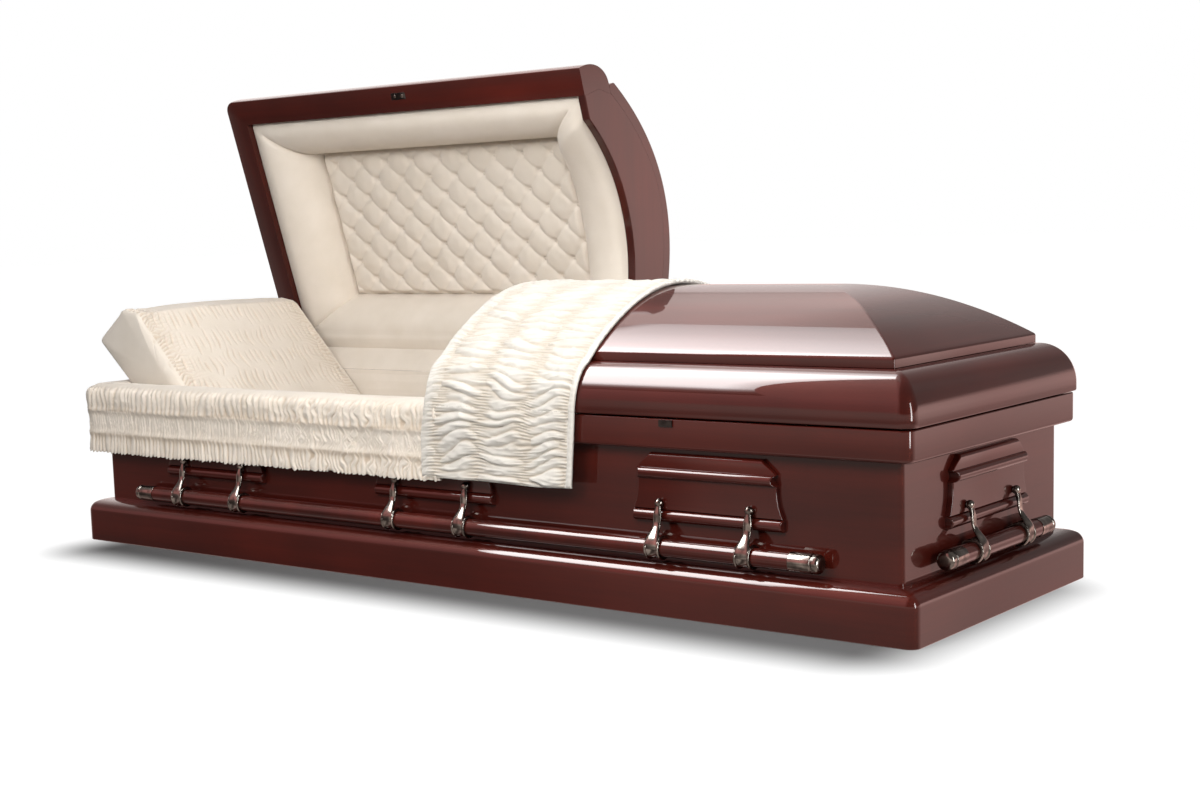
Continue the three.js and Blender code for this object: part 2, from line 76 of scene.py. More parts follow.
# Sizes of the lids, as they lie shut
RIM_X = 1.050
RIM_Y = 0.340
RIM_BOTTOM = 0.357
RIM_FOOT = 0.372
RIM_TOP = 0.448
RIM_WIDTH = 0.060
RIM_INNER_TOP = 0.410
RIM_NOSE = 0.058
RIM_SEAT = 0.082
RIM_CORNER = 0.026
CROWN_X = 0.989
CROWN_Y = 0.279
CROWN_BASE = 0.4483
CROWN_FOOT = 0.4653
CROWN_RISE = 0.1075
CROWN_THICK = 0.018
CROWN_HIP = 0.004
HEAD_END = 0.050
FOOT_END = 0.052
CUT_BOARD = 0.020
ARCH_HALF = 0.229
ARCH_RISE = 0.071
ARCH_POWER = 2.1
GAP = 0.0003
HINGE_Y = 0.3471
HINGE_Z = 0.364
OPEN_ANGLE = math.radians(73.2)

# Sizes of the carrying handles
EAR_PLACE = 0.642
EAR_PLATE = 0.010
ARM_HALF = 0.0935
ARM_PIVOT_OUT = 0.0166
ARM_PIVOT_Z = 0.2005
BAR_OUT = 0.026
BAR_Z = 0.122
BAR_RADIUS = 0.0165
CAP_RADIUS = 0.0176
CAP_LENGTH = 0.058
SIDE_BAR = 0.882
END_BAR = 0.210

# Sizes of the bedding
MATTRESS_TOP = 0.160
PANEL_Z = 0.468
PANEL_X0 = -0.872
PANEL_X1 = -0.106
PANEL_Y0 = -0.172
PANEL_Y1 = 0.204


# Painted shadow on the floor: the floor's white glow is nil inside a box round the casket, moved by the
# shift and sized by the half sizes, and grows to full from START to END metres outside it.
# Light on matt surfaces: the two halves of the surround as radiance, and the lamps as
# (place, target, size, power)
FLOOR_SHADE_SHIFT = (-0.04, 0.110, 0.0)
FLOOR_SHADE_HALF = (0.935, 0.290, 10.0)
FLOOR_SHADE_START = 0.0
FLOOR_SHADE_END = 0.22
SKY_LIGHT = 0.01
GROUND_LIGHT = 0.20
LAMPS = {
    "top": ((0.6, -1.0, 2.1), (0.0, 0.0, 0.4), (0.9, 0.9), 16.0),
    "rear": ((0.5, 0.3, 2.2), (0.0, 0.0, 0.4), (0.9, 0.9), 14.0),
    "front_right": ((1.6, -2.0, 1.7), (0.0, 0.0, 0.5), (0.9, 0.9), 32.0),
    "front": ((0.3, -2.3, 1.5), (0.0, 0.0, 0.6), (0.9, 0.9), 37.0),
    "end": ((3.4, -0.5, 1.0), (1.0, 0.0, 0.3), (0.8, 0.8), 34.0),
}


# Small tools for point grids


def blend_between(a, b, share):
    """a where share is 0, b where it is 1, straight between."""
    return a + (b - a) * share


def ease(x):
    """0 up to x = 0, 1 from x = 1, and a smooth step between."""
    x = np.clip(x, 0.0, 1.0)
    return x * x * (3.0 - 2.0 * x)


def soft_noise(u, v, seed):
    """Smooth noise from -1 to 1: a random value at each whole (u, v), eased between neighbours."""
    table = np.random.default_rng(seed).uniform(-1.0, 1.0, (256, 256))
    low_u, low_v = np.floor(u).astype(int), np.floor(v).astype(int)
    part_u, part_v = ease(u - low_u), ease(v - low_v)
    near = blend_between(table[low_u % 256, low_v % 256], table[(low_u + 1) % 256, low_v % 256], part_u)
    away = blend_between(
        table[low_u % 256, (low_v + 1) % 256], table[(low_u + 1) % 256, (low_v + 1) % 256], part_u
    )
    return blend_between(near, away, part_v)


def rounded_profile(corners, steps=6):
    """A closed outline from (x, y, round) corners: each corner becomes a parabola that leaves the
    sides at a distance of round from the corner."""
    corners = np.array(corners, float)
    place, setback = corners[:, :2], corners[:, 2:]
    before, after = np.roll(place, 1, axis=0) - place, np.roll(place, -1, axis=0) - place
    start = place + before / np.linalg.norm(before, axis=1, keepdims=True) * setback
    end = place + after / np.linalg.norm(after, axis=1, keepdims=True) * setback
    t = np.linspace(0.0, 1.0, steps + 1)[None, :, None]
    curve = (1 - t) ** 2 * start[:, None] + 2 * t * (1 - t) * place[:, None] + t**2 * end[:, None]
    keep = np.concatenate([curve[i] if corners[i, 2] > 0 else curve[i, :1] for i in range(len(corners))])
    return np.concatenate([keep, keep[:1]])


def quarter(centre, radius_x, radius_y, start, end, steps=14):
    """Points on an ellipse from one angle to another, in degrees."""
    angle = np.radians(np.linspace(start, end, steps + 1))
    return np.stack([centre[0] + radius_x * np.cos(angle), centre[1] + radius_y * np.sin(angle)], 1)


def ring_loops(half_x, half_y, radius, steps=12):
    """One closed rounded rectangle for each entry: a quarter circle at each corner."""
    turn = np.radians(np.linspace(0.0, 90.0, steps + 1))
    angle = (np.arange(4)[:, None] * math.pi / 2 + turn).ravel()
    side_x = np.repeat([1.0, -1.0, -1.0, 1.0], steps + 1)
    side_y = np.repeat([1.0, 1.0, -1.0, -1.0], steps + 1)
    x = side_x * (half_x - radius)[:, None] + radius[:, None] * np.cos(angle)
    y = side_y * (half_y - radius)[:, None] + radius[:, None] * np.sin(angle)
    loops = np.stack([x, y], 2)
    return np.concatenate([loops, loops[:, :1]], 1)


def cut_loops(half_x, half_y, radius, cut, side, steps=12):
    """The part of each rounded rectangle on one side of a cut: along the front, round the end, and
    back along the rear. side is 1 for the foot half and -1 for the head half."""
    turn = np.radians(np.linspace(0.0, 90.0, steps + 1))
    angle = np.concatenate([turn - math.pi / 2, turn])
    side_y = np.repeat([-1.0, 1.0], steps + 1)
    x = (half_x - radius)[:, None] + radius[:, None] * np.cos(angle)
    y = side_y * (half_y - radius)[:, None] + radius[:, None] * np.sin(angle)
    start = np.full((len(half_x), 1), side * cut)
    x = np.concatenate([start, x, start], 1)
    y = np.concatenate([y[:, :1], y, y[:, -1:]], 1)
    return np.stack([side * x, y], 2)


def swept(profile, loops):
    """A profile of (inset, height) carried round loops, one loop for each point of the profile."""
    height = np.broadcast_to(profile[:, 1][:, None], loops.shape[:2])
    return np.dstack([loops, height])


def lengths(points):
    """Texture places in metres: the mean length along the columns and along the rows of a grid."""
    along = np.linalg.norm(np.diff(points, axis=1), axis=2).mean(axis=0)
    across = np.linalg.norm(np.diff(points, axis=0), axis=2).mean(axis=1)
    u = np.concatenate([[0.0], np.cumsum(along)])
    v = np.concatenate([[0.0], np.cumsum(across)])
    return np.dstack(np.meshgrid(u, v))


def lathe(profile, sides=48):
    """A profile of (place along X, radius) turned a full circle about the X axis."""
    angle = np.linspace(0.0, 2 * math.pi, sides + 1)
    x = np.broadcast_to(profile[:, :1], (len(profile), sides + 1))
    return np.dstack([x, profile[:, 1:] * np.cos(angle), profile[:, 1:] * np.sin(angle)])


def opened(points):
    """Points of the head lid turned from shut to open about the hinge pin."""
    y, z = points[..., 1] - HINGE_Y, points[..., 2] - HINGE_Z
    c, s = math.cos(-OPEN_ANGLE), math.sin(-OPEN_ANGLE)
    return np.stack([points[..., 0], HINGE_Y + y * c - z * s, HINGE_Z + y * s + z * c], -1)


def on_wall(points, along, distance, turn):
    """Points drawn with X along a wall and -Y out from it, moved to one wall of the box."""
    x, y, z = points[..., 0] + along, points[..., 1] - distance, points[..., 2]
    c, s = round(math.cos(math.radians(turn))), round(math.sin(math.radians(turn)))
    return np.stack([x * c - y * s, x * s + y * c, z], -1)


def grid_normals(points):
    """Unit normals of a grid, from the differences along its rows and columns."""
    normal = np.cross(np.gradient(points, axis=1), np.gradient(points, axis=0))
    return normal / np.maximum(np.linalg.norm(normal, axis=2, keepdims=True), 1e-12)


def make_piece(name, grids, body, material, stands_for=(), crease=35.0, closed=True, caps=(),
               normals=None, folds=None):
    """One piece from point grids and flat polygons: neighbouring points make quads, and seams and
    poles are welded. normals, where given, are the shading normals of the first grid, and folds
    tells how deep in a fold each of its points lies, which the cloth material paints as shade."""
    places, faces, marks, first = [], [], [], 0
    for points in grids:
        rows, columns = points.shape[:2]
        index = first + np.arange(rows * columns).reshape(rows, columns)
        corners = [index[:-1, :-1], index[:-1, 1:], index[1:, 1:], index[1:, :-1]]
        faces.append(np.stack(corners, -1).ravel())
        places.append(points.reshape(-1, 3))
        marks.append(lengths(points).reshape(-1, 2))
        first += rows * columns
    starts = np.arange(0, sum(part.size for part in faces), 4)
    for loop in caps:
        starts = np.append(starts, sum(part.size for part in faces))
        faces.append(first + np.arange(len(loop)))
        places.append(loop)
        marks.append(loop[:, 1:])
        first += len(loop)
    places, faces, marks = np.concatenate(places), np.concatenate(faces), np.concatenate(marks)
    mesh = bpy.data.meshes.new(name)
    mesh.vertices.add(len(places))
    mesh.vertices.foreach_set("co", places.astype(np.float32).ravel())
    mesh.loops.add(faces.size)
    mesh.loops.foreach_set("vertex_index", faces.astype(np.int32))
    mesh.polygons.add(len(starts))
    mesh.polygons.foreach_set("loop_start", starts.astype(np.int32))
    mesh.update(calc_edges=True)
    mesh.uv_layers.new(name="UVMap").data.foreach_set("uv", marks[faces].astype(np.float32).ravel())
    if normals is not None:
        shared = np.zeros((len(places), 3), np.float32)
        shared[:normals.shape[0] * normals.shape[1]] = normals.reshape(-1, 3)
        mesh.attributes.new("shared_normal", "FLOAT_VECTOR", "POINT").data.foreach_set("vector", shared.ravel())
    # The fold attribute carries painted shade for the cloth material.
    if folds is not None:
        deep = np.zeros(len(places), np.float32)
        deep[:folds.size] = folds.ravel()
        mesh.attributes.new("fold", "FLOAT", "POINT").data.foreach_set("value", deep)
    shape = bmesh.new()
    shape.from_mesh(mesh)
    bmesh.ops.remove_doubles(shape, verts=shape.verts, dist=2e-6)
    bmesh.ops.dissolve_degenerate(shape, edges=shape.edges, dist=1e-7)
    if closed:
        bmesh.ops.recalc_face_normals(shape, faces=shape.faces)
    shape.to_mesh(mesh)
    shape.free()
    mesh.polygons.foreach_set("use_smooth", np.ones(len(mesh.polygons), bool))
    mesh.set_sharp_from_angle(angle=math.radians(crease))
    if normals is not None:
        own, shared = np.zeros(len(mesh.vertices) * 3), np.zeros(len(mesh.vertices) * 3)
        mesh.vertex_normals.foreach_get("vector", own)
        mesh.attributes["shared_normal"].data.foreach_get("vector", shared)
        own, shared = own.reshape(-1, 3), shared.reshape(-1, 3)
        given = np.abs(shared).sum(axis=1) > 0.5
        mesh.normals_split_custom_set_from_vertices(np.where(given[:, None], shared, own).tolist())
        mesh.attributes.remove(mesh.attributes["shared_normal"])
    mesh.materials.append(material)
    piece = bpy.data.objects.new(name, mesh)
    bpy.context.scene.collection.objects.link(piece)
    if body:
        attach(piece, body)
    if stands_for:
        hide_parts(*stands_for)
    return piece


# Materials


def new_material(name):
    """An empty node material with its Principled shader."""
    material = bpy.data.materials.new(name)
    material.use_nodes = True
    return material, material.node_tree, material.node_tree.nodes["Principled BSDF"]


def add_node(tree, kind, **values):
    """A node with its own settings and its input sockets set by name."""
    node = tree.nodes.new(kind)
    for key, value in values.items():
        if hasattr(node, key):
            setattr(node, key, value)
        else:
            node.inputs[key.replace("_", " ")].default_value = value
    return node


def stretched_noise(tree, source, stretch, scale, detail, seed):
    """Noise on a coordinate that is stretched by the three factors."""
    mapping = add_node(tree, "ShaderNodeMapping")
    mapping.inputs["Scale"].default_value = stretch
    mapping.inputs["Location"].default_value = (seed, seed * 1.7, seed * 0.3)
    tree.links.new(source, mapping.inputs["Vector"])
    noise = add_node(tree, "ShaderNodeTexNoise", Scale=scale, Detail=detail)
    tree.links.new(mapping.outputs["Vector"], noise.inputs["Vector"])
    return noise.outputs["Fac"]


def ramp(tree, source, stops):
    """A colour ramp from (place, colour) stops."""
    node = add_node(tree, "ShaderNodeValToRGB")
    elements = node.color_ramp.elements
    while len(elements) < len(stops):
        elements.new(0.5)
    for element, (place, colour) in zip(elements, stops):
        element.position = place
        element.color = (*colour, 1.0)
    tree.links.new(source, node.inputs["Fac"])
    return node.outputs["Color"]


def mixed(tree, share, a, b, kind="MIX"):
    """Two colours mixed by a share, a number or a socket."""
    node = add_node(tree, "ShaderNodeMix", data_type="RGBA", blend_type=kind)
    for socket, value in (("Factor", share), ("A", a), ("B", b)):
        target = [s for s in node.inputs if s.name == socket and s.enabled][0]
        if isinstance(value, bpy.types.NodeSocket):
            tree.links.new(value, target)
        else:
            target.default_value = value
    return [s for s in node.outputs if s.enabled][0]


def bumped(tree, shader, height, strength, distance):
    """A bump on the shader's normal from a height socket."""
    node = add_node(tree, "ShaderNodeBump", Strength=strength, Distance=distance)
    tree.links.new(height, node.inputs["Height"])
    tree.links.new(node.outputs["Normal"], shader.inputs["Normal"])


def lacquered_mahogany(name, coordinate, along):
    """Dark red mahogany under clear gloss lacquer: cloudy figure, long grain and fine pores."""
    material, tree, shader = new_material(name)
    source = add_node(tree, "ShaderNodeTexCoord").outputs[coordinate]
    fine = tuple(1.5 if axis == along else 90.0 for axis in range(3))
    long = tuple(0.8 if axis == along else 9.0 for axis in range(3))
    figure = stretched_noise(tree, source, long, 1.6, 6.0, 3.1)
    cloud = stretched_noise(tree, source, (2.4, 2.4, 2.4), 1.3, 3.0, 7.7)
    pores = stretched_noise(tree, source, fine, 2.2, 4.0, 1.3)
    grain = ramp(tree, figure, [
        (0.30, (0.028, 0.0048, 0.0036)), (0.50, (0.041, 0.0058, 0.0038)), (0.72, (0.060, 0.0072, 0.0042)),
    ])
    shade = ramp(tree, cloud, [(0.32, (0.72, 0.74, 0.76)), (0.70, (1.30, 1.18, 1.12))])
    toned = mixed(tree, 1.0, grain, shade, "MULTIPLY")
    streak = ramp(tree, pores, [(0.38, (0.80, 0.80, 0.80)), (0.60, (1.0, 1.0, 1.0))])
    colour = mixed(tree, 0.35, toned, streak, "MULTIPLY")
    tree.links.new(colour, shader.inputs["Base Color"])
    shader.inputs["Roughness"].default_value = 0.42
    shader.inputs["Specular IOR Level"].default_value = 0.15
    shader.inputs["Specular Tint"].default_value = (1.0, 0.20, 0.11, 1.0)
    shader.inputs["Coat Weight"].default_value = 1.0
    shader.inputs["Coat Roughness"].default_value = 0.012
    shader.inputs["Coat IOR"].default_value = 1.46
    return material


def plain_board(name):
    """Unlacquered board: pale brown with a straight grain."""
    material, tree, shader = new_material(name)
    source = add_node(tree, "ShaderNodeTexCoord").outputs["Object"]
    grain = stretched_noise(tree, source, (1.0, 26.0, 26.0), 2.0, 6.0, 5.0)
    colour = ramp(tree, grain, [(0.3, (0.16, 0.085, 0.045)), (0.7, (0.31, 0.18, 0.10))])
    tree.links.new(colour, shader.inputs["Base Color"])
    shader.inputs["Roughness"].default_value = 0.62
    bumped(tree, shader, grain, 0.25, 0.0005)
    return material


def antique_nickel(name, coordinate, dark, pale):
    """Polished nickel: worn lighter in patches, with fine scratches in its roughness."""
    material, tree, shader = new_material(name)
    source = add_node(tree, "ShaderNodeTexCoord").outputs[coordinate]
    wear = stretched_noise(tree, source, (1.0, 1.0, 1.0), 60.0, 4.0, 2.0)
    colour = ramp(tree, wear, [(0.35, dark), (0.65, pale)])
    tree.links.new(colour, shader.inputs["Base Color"])
    tree.links.new(ramp(tree, wear, [(0.3, (0.24, 0.24, 0.24)), (0.7, (0.13, 0.13, 0.13))]),
                   shader.inputs["Roughness"])
    shader.inputs["Metallic"].default_value = 1.0
    bumped(tree, shader, wear, 0.05, 0.0004)
    return material


def soft_cloth(name, pale, deep, weave=520.0, sheen=0.25):
    """Matt cloth: a fine weave, a slight mottle, a soft sheen and painted shade, darker and warmer, deep in its
    folds.
    """
    material, tree, shader = new_material(name)
    coordinates = add_node(tree, "ShaderNodeTexCoord")
    weft = stretched_noise(tree, coordinates.outputs["UV"], (1.0, 3.0, 1.0), weave, 2.0, 4.0)
    mottle = stretched_noise(tree, coordinates.outputs["Object"], (1.0, 1.0, 1.0), 14.0, 5.0, 9.0)
    tone = ramp(tree, mottle, [(0.30, deep), (0.70, pale)])
    thread = ramp(tree, weft, [(0.30, (0.88, 0.87, 0.85)), (0.60, (1.0, 1.0, 1.0))])
    # Painted shade: the fold attribute darkens and warms the colour where the cloth lies deep in a fold.
    deep = add_node(tree, "ShaderNodeAttribute", attribute_name="fold").outputs["Fac"]
    shadow = ramp(tree, deep, [(0.0, (1.0, 1.0, 1.0)), (1.0, (0.80, 0.72, 0.63))])
    woven = mixed(tree, 0.8, tone, thread, "MULTIPLY")
    tree.links.new(mixed(tree, 1.0, woven, shadow, "MULTIPLY"), shader.inputs["Base Color"])
    shader.inputs["Roughness"].default_value = 0.88
    shader.inputs["Specular IOR Level"].default_value = 0.25
    shader.inputs["Sheen Weight"].default_value = sheen
    shader.inputs["Sheen Roughness"].default_value = 0.5
    bumped(tree, shader, weft, 0.35, 0.0006)
    return material


wood = lacquered_mahogany("mahogany_swept", "UV", 0)
wood_end = lacquered_mahogany("mahogany_upright", "Object", 2)
nickel = antique_nickel("antique_nickel", "Object", (0.10, 0.09, 0.08), (0.27, 0.25, 0.225))
dark_nickel = antique_nickel("dark_nickel", "Object", (0.035, 0.03, 0.028), (0.09, 0.08, 0.075))
board = plain_board("inside_board")
cream = soft_cloth("cream_cloth", (0.75, 0.675, 0.59), (0.70, 0.625, 0.535))
ivory = soft_cloth("ivory_cloth", (0.69, 0.655, 0.60), (0.65, 0.61, 0.55))


# Wood of the box


def build_box():
    """Plinth, walls and rail: one profile each, carried round a rounded rectangle."""
    shoulder = quarter((PLINTH_ROUND, PLINTH_FACE), PLINTH_ROUND, PLINTH_TOP - PLINTH_FACE, 180, 90)
    inner = PLINTH_PROUD - GAP
    base = np.array([[inner, 0.0], [0.0015, 0.0], [0.0, 0.0015]])
    profile = np.concatenate([base, shoulder, [[inner, PLINTH_TOP], [inner, 0.0]]])
    inset = profile[:, 0]
    loops = ring_loops(BODY_X + PLINTH_PROUD - inset, BODY_Y + PLINTH_PROUD - inset,
                       np.maximum(BODY_CORNER, PLINTH_CORNER - inset))
    make_piece("plinth", [swept(profile, loops)], "casket", wood,
               ["plinth_front", "plinth_back", "plinth_head", "plinth_foot"])

    profile = np.array([[0.0, 0.0], [0.0, WALL_TOP], [WALL, WALL_TOP], [WALL, 0.0], [0.0, 0.0]])
    inset = profile[:, 0]
    loops = ring_loops(BODY_X - inset, BODY_Y - inset, np.maximum(0.001, BODY_CORNER - inset))
    make_piece("walls", [swept(profile, loops)], "casket", wood,
               ["wall_front", "wall_back", "wall_head", "wall_foot"])

    profile = rounded_profile([
        (RAIL_DEPTH, RAIL_BOTTOM, 0.0), (0.0, RAIL_BOTTOM, RAIL_ROUND), (0.0, RAIL_TOP, ARRIS),
        (RAIL_DEPTH, RAIL_TOP, 0.0),
    ])
    inset = profile[:, 0]
    loops = ring_loops(RAIL_X - inset, RAIL_Y - inset, np.maximum(0.001, RAIL_CORNER - inset))
    make_piece("rail", [swept(profile, loops)], "casket", wood,
               ["rail_front", "rail_back", "rail_head", "rail_foot"])


# Wood of the lids


def rim_profile():
    """Section of the rim as (inset, height): a quarter-ellipse nose above a short upright foot."""
    nose = quarter((RIM_NOSE, RIM_FOOT), RIM_NOSE, RIM_TOP - RIM_FOOT, 180, 90, 20)
    low = [[RIM_WIDTH, RIM_BOTTOM], [ARRIS, RIM_BOTTOM], [ARRIS * 0.3, RIM_BOTTOM + ARRIS * 0.3],
           [0.0, RIM_BOTTOM + ARRIS]]
    high = [[RIM_SEAT, RIM_TOP], [RIM_WIDTH, RIM_INNER_TOP], [RIM_WIDTH, RIM_BOTTOM]]
    return np.concatenate([low, nose, high])


def crown_height(inset):
    """Height of the crown's outer face: a parabola from its foot to the ridge."""
    share = 1.0 - inset / CROWN_Y
    return CROWN_FOOT + CROWN_RISE * (1.0 - share * share)


def crown_profiles():
    """Outer and inner faces of the crown as (inset, height), from the lower edge up to the ridge."""
    inset = CROWN_Y * np.linspace(0.0, 1.0, 25) ** 1.15
    outer = np.stack([inset, crown_height(inset)], 1)
    arris = rounded_profile([(0.0, CROWN_BASE, 0.0008), (0.0, CROWN_FOOT, 0.0035), outer[3].tolist() + [0.0]], 4)
    outer = np.concatenate([arris[:10], outer[1:]])
    inset = np.concatenate([np.full(len(arris[:10]), CROWN_THICK), CROWN_THICK + (CROWN_Y - CROWN_THICK)
                            * np.linspace(0.0, 1.0, 25)[1:] ** 1.15])
    inner_z = np.maximum(CROWN_BASE, crown_height(inset - CROWN_THICK) - CROWN_THICK)
    return outer, np.stack([inset, inner_z], 1)


def arch_height(y):
    """Height of the opening in a cut board: a flattened arch between two upright feet."""
    share = np.clip(np.abs(y) / ARCH_HALF, 0.0, 1.0)
    return RIM_BOTTOM + ARCH_RISE * (1.0 - share**ARCH_POWER)


def build_lid(name, side, cut, board_start, place):
    """Rim, crown and cut board of one lid, drawn shut and moved by place."""
    profile = rim_profile()
    inset = profile[:, 0]
    loops = cut_loops(RIM_X - inset, RIM_Y - inset,
                      np.maximum(ARRIS, RIM_CORNER * (1.0 - inset / (RIM_NOSE + ARRIS))), cut, side)
    surface = place(swept(profile, loops))
    ends = [surface[:-1, column] for column in (0, -1)]
    surface = np.concatenate([surface, surface[:1]])
    make_piece(f"{name}_rim_moulding", [surface], name, wood, [f"{name}_rim"], caps=ends)

    shells = []
    for profile in crown_profiles():
        inset = np.minimum(profile[:, 0], CROWN_Y - 1e-5)
        radius = np.minimum(CROWN_HIP, CROWN_Y - inset)
        loops = cut_loops(CROWN_X - inset, CROWN_Y - inset, radius, cut, side, 5)
        shells.append(place(swept(profile, loops)))
    outer, inner = shells
    outer[-1, :, :] = place(ridge_line(outer[-1], cut, side, crown_height(CROWN_Y)))
    inner[-1, :, :] = place(ridge_line(inner[-1], cut, side, crown_height(CROWN_Y - CROWN_THICK) - CROWN_THICK))
    edge = np.stack([outer[0], inner[0]])
    end = np.concatenate([outer[:-1, 0], outer[::-1, -1], inner[:-1, -1], inner[::-1, 0]])
    make_piece(f"{name}_crown_shell", [outer, inner, edge], name, wood, [f"{name}_crown"],
               caps=[end])

    y = np.unique(np.concatenate([
        np.linspace(-0.2797, 0.2797, 61), ARCH_HALF * np.sin(np.linspace(-math.pi / 2, math.pi / 2, 60)),
        [-0.2577, 0.2577],
    ]))
    dome = crown_height(CROWN_Y - CROWN_THICK - GAP - np.minimum(np.abs(y), 0.2577)) - CROWN_THICK - GAP
    slope = blend_between(RIM_INNER_TOP - GAP, RIM_TOP, (0.2797 - np.abs(y)) / (0.2797 - 0.2577))
    top = np.where(np.abs(y) > 0.2577, slope, dome)
    low = arch_height(y)
    start, end = board_start, board_start + CUT_BOARD
    soft = 0.0018
    rows = [(start, low + soft), (start + soft, low), (end - soft, low), (end, low + soft), (end, top),
            (start, top), (start, low + soft)]
    section = np.stack([np.stack([np.full_like(y, x), y, z], 1) for x, z in rows])
    section = place(section)
    make_piece(f"{name}_end_board", [section], name, wood_end, [f"{name}_cut_board"],
               caps=[section[:-1, column] for column in (0, -1)])


def ridge_line(row, cut, side, height):
    """The contour at the ridge: every point on the middle line, up to where the hips meet."""
    far = CROWN_X - CROWN_Y
    count = row.shape[0]
    x = np.full(count, side * far)
    x[0] = x[-1] = cut
    return np.stack([x, np.zeros(count), np.full(count, height)], 1)


# Carrying handles


def ear_grid():
    """A wooden ear: for each height its half width and its depth, and a section across with
    rounded corners; top edge, nose and lower rod are bulges of the depth."""
    nose = quarter((0.010, 0.254), 0.010, 0.010, 90, -90, 16)
    rod = quarter((0.004, 0.176), 0.011, 0.011, 90, -90, 16)
    top = np.array([[0.0, 0.290], [0.005, 0.290], [0.0085, 0.2893], [0.0112, 0.2868], [0.0120, 0.283],
                    [0.0108, 0.272], [0.0102, 0.2655]])
    plate = np.stack([np.full(8, EAR_PLATE), np.linspace(0.2435, 0.1885, 8)], 1)
    profile = np.concatenate([top, nose, plate, rod])
    depth, height = profile[:, 0], profile[:, 1]
    share = (height - 0.187) / (0.244 - 0.187)
    hollow = blend_between(0.155, 0.1435, np.clip(share, 0, 1) ** 0.8) - 0.003 * np.sin(
        math.pi * np.clip(share, 0, 1))
    slant = blend_between(0.1435, 0.1165, ease((height - 0.262) / 0.030) ** 0.9)
    half = np.where(height > 0.262, slant, hollow)
    half = half - 0.006 * np.clip((depth - EAR_PLATE) / 0.010, 0, 1) ** 2
    angle = np.radians(np.linspace(0, 90, 7))
    corner = 0.003
    left_x = -half[:, None] + corner * (1 - np.cos(angle))
    left_y = -depth[:, None] + np.minimum(corner, depth)[:, None] * (1 - np.sin(angle))
    x = np.concatenate([-half[:, None], left_x, -left_x[:, ::-1], half[:, None]], 1)
    y = np.concatenate([np.zeros((len(half), 1)), left_y, left_y[:, ::-1], np.zeros((len(half), 1))], 1)
    z = np.broadcast_to(height[:, None], x.shape)
    face = np.dstack([x, y, z])
    back = np.stack([face[:, 0], face[:, -1]], 1)
    return face, back


def arm_grids():
    """A cast arm: a round eye, a neck that widens into a leaf, and a band with two beads round
    the bar. The leaf is an oval section carried down a curve."""
    angle = np.linspace(0.0, math.pi, 13)
    eye = lathe(np.stack([-np.cos(angle), np.sin(angle)], 1) * 0.0082, 24)
    eye = eye + np.array([0.0, -ARM_PIVOT_OUT, ARM_PIVOT_Z])
    path = np.array([
        (0.0166, 0.1985), (0.0178, 0.1950), (0.0205, 0.1885), (0.0228, 0.1810), (0.0236, 0.1720),
        (0.0244, 0.1640), (0.0278, 0.1560), (0.0335, 0.1490), (0.0390, 0.1420), (0.0432, 0.1345),
        (0.0452, 0.1265), (0.0455, 0.1200),
    ])
    wide = np.array([0.0046, 0.0052, 0.0064, 0.0082, 0.0084, 0.0076, 0.0084, 0.0104, 0.0130, 0.0150,
                     0.0152, 0.0110])
    thick = np.array([0.0044, 0.0044, 0.0040, 0.0036, 0.0034, 0.0033, 0.0034, 0.0034, 0.0032, 0.0028,
                      0.0022, 0.0012])
    fine = np.linspace(0, len(path) - 1, 40)
    knots = np.arange(len(path))
    path = np.stack([np.interp(fine, knots, path[:, i]) for i in (0, 1)], 1)
    path = np.apply_along_axis(lambda line: np.convolve(np.pad(line, 2, mode="edge"), np.ones(5) / 5, "valid"), 0,
                               path)
    wide, thick = np.interp(fine, knots, wide), np.interp(fine, knots, thick)
    run = np.gradient(path, axis=0)
    run /= np.linalg.norm(run, axis=1, keepdims=True)
    turn = np.linspace(0, 2 * math.pi, 25)
    side = np.sign(np.cos(turn)) * np.abs(np.cos(turn)) ** 0.8 * wide[:, None]
    lift = np.sign(np.sin(turn)) * np.abs(np.sin(turn)) ** 0.9 * thick[:, None]
    out = path[:, :1] - lift * run[:, 1:]
    up = path[:, 1:] + lift * run[:, :1]
    leaf = np.dstack([side, -out, up])
    ends = [np.stack([row, np.broadcast_to(row.mean(axis=0), row.shape)]) for row in (leaf[0], leaf[-1])]
    bead = quarter((0.0134, 0.0198), 0.0026, 0.0026, 0, 180, 8)
    half = np.concatenate([[[0.0160, 0.0168], [0.0160, 0.0198]], bead[1:], [[0.0100, 0.0192], [0.0, 0.0190]]])
    band = np.concatenate([half, (half * [-1, 1])[::-1][1:], half[:1]])
    band = lathe(band, 40) + np.array([0.0, -BAR_OUT, BAR_Z])
    return [eye, leaf, *ends, band]


def bar_grids(half):
    """The wooden bar between the caps, and one metal cap at its +X end."""
    seat = half - CAP_LENGTH
    bar = np.array([(-seat - 0.004, 0.0), (-seat - 0.004, BAR_RADIUS), (seat + 0.004, BAR_RADIUS),
                    (seat + 0.004, 0.0)])
    cap = rounded_profile([
        (0.0, 0.0, 0.0), (0.0, CAP_RADIUS - 0.0006, 0.0005), (0.0, CAP_RADIUS, 0.0004),
        (0.041, CAP_RADIUS, 0.0008), (0.042, 0.0160, 0.0006), (0.0445, 0.0160, 0.0006),
        (0.0455, 0.0174, 0.0012), (0.0545, 0.0168, 0.0030), (CAP_LENGTH, 0.0120, 0.0040),
        (CAP_LENGTH, 0.0, 0.0),
    ], 4)[:-1] + np.array([seat, 0.0])
    shift = np.array([0.0, -BAR_OUT, BAR_Z])
    return lathe(bar, 64) + shift, lathe(cap, 48) + shift


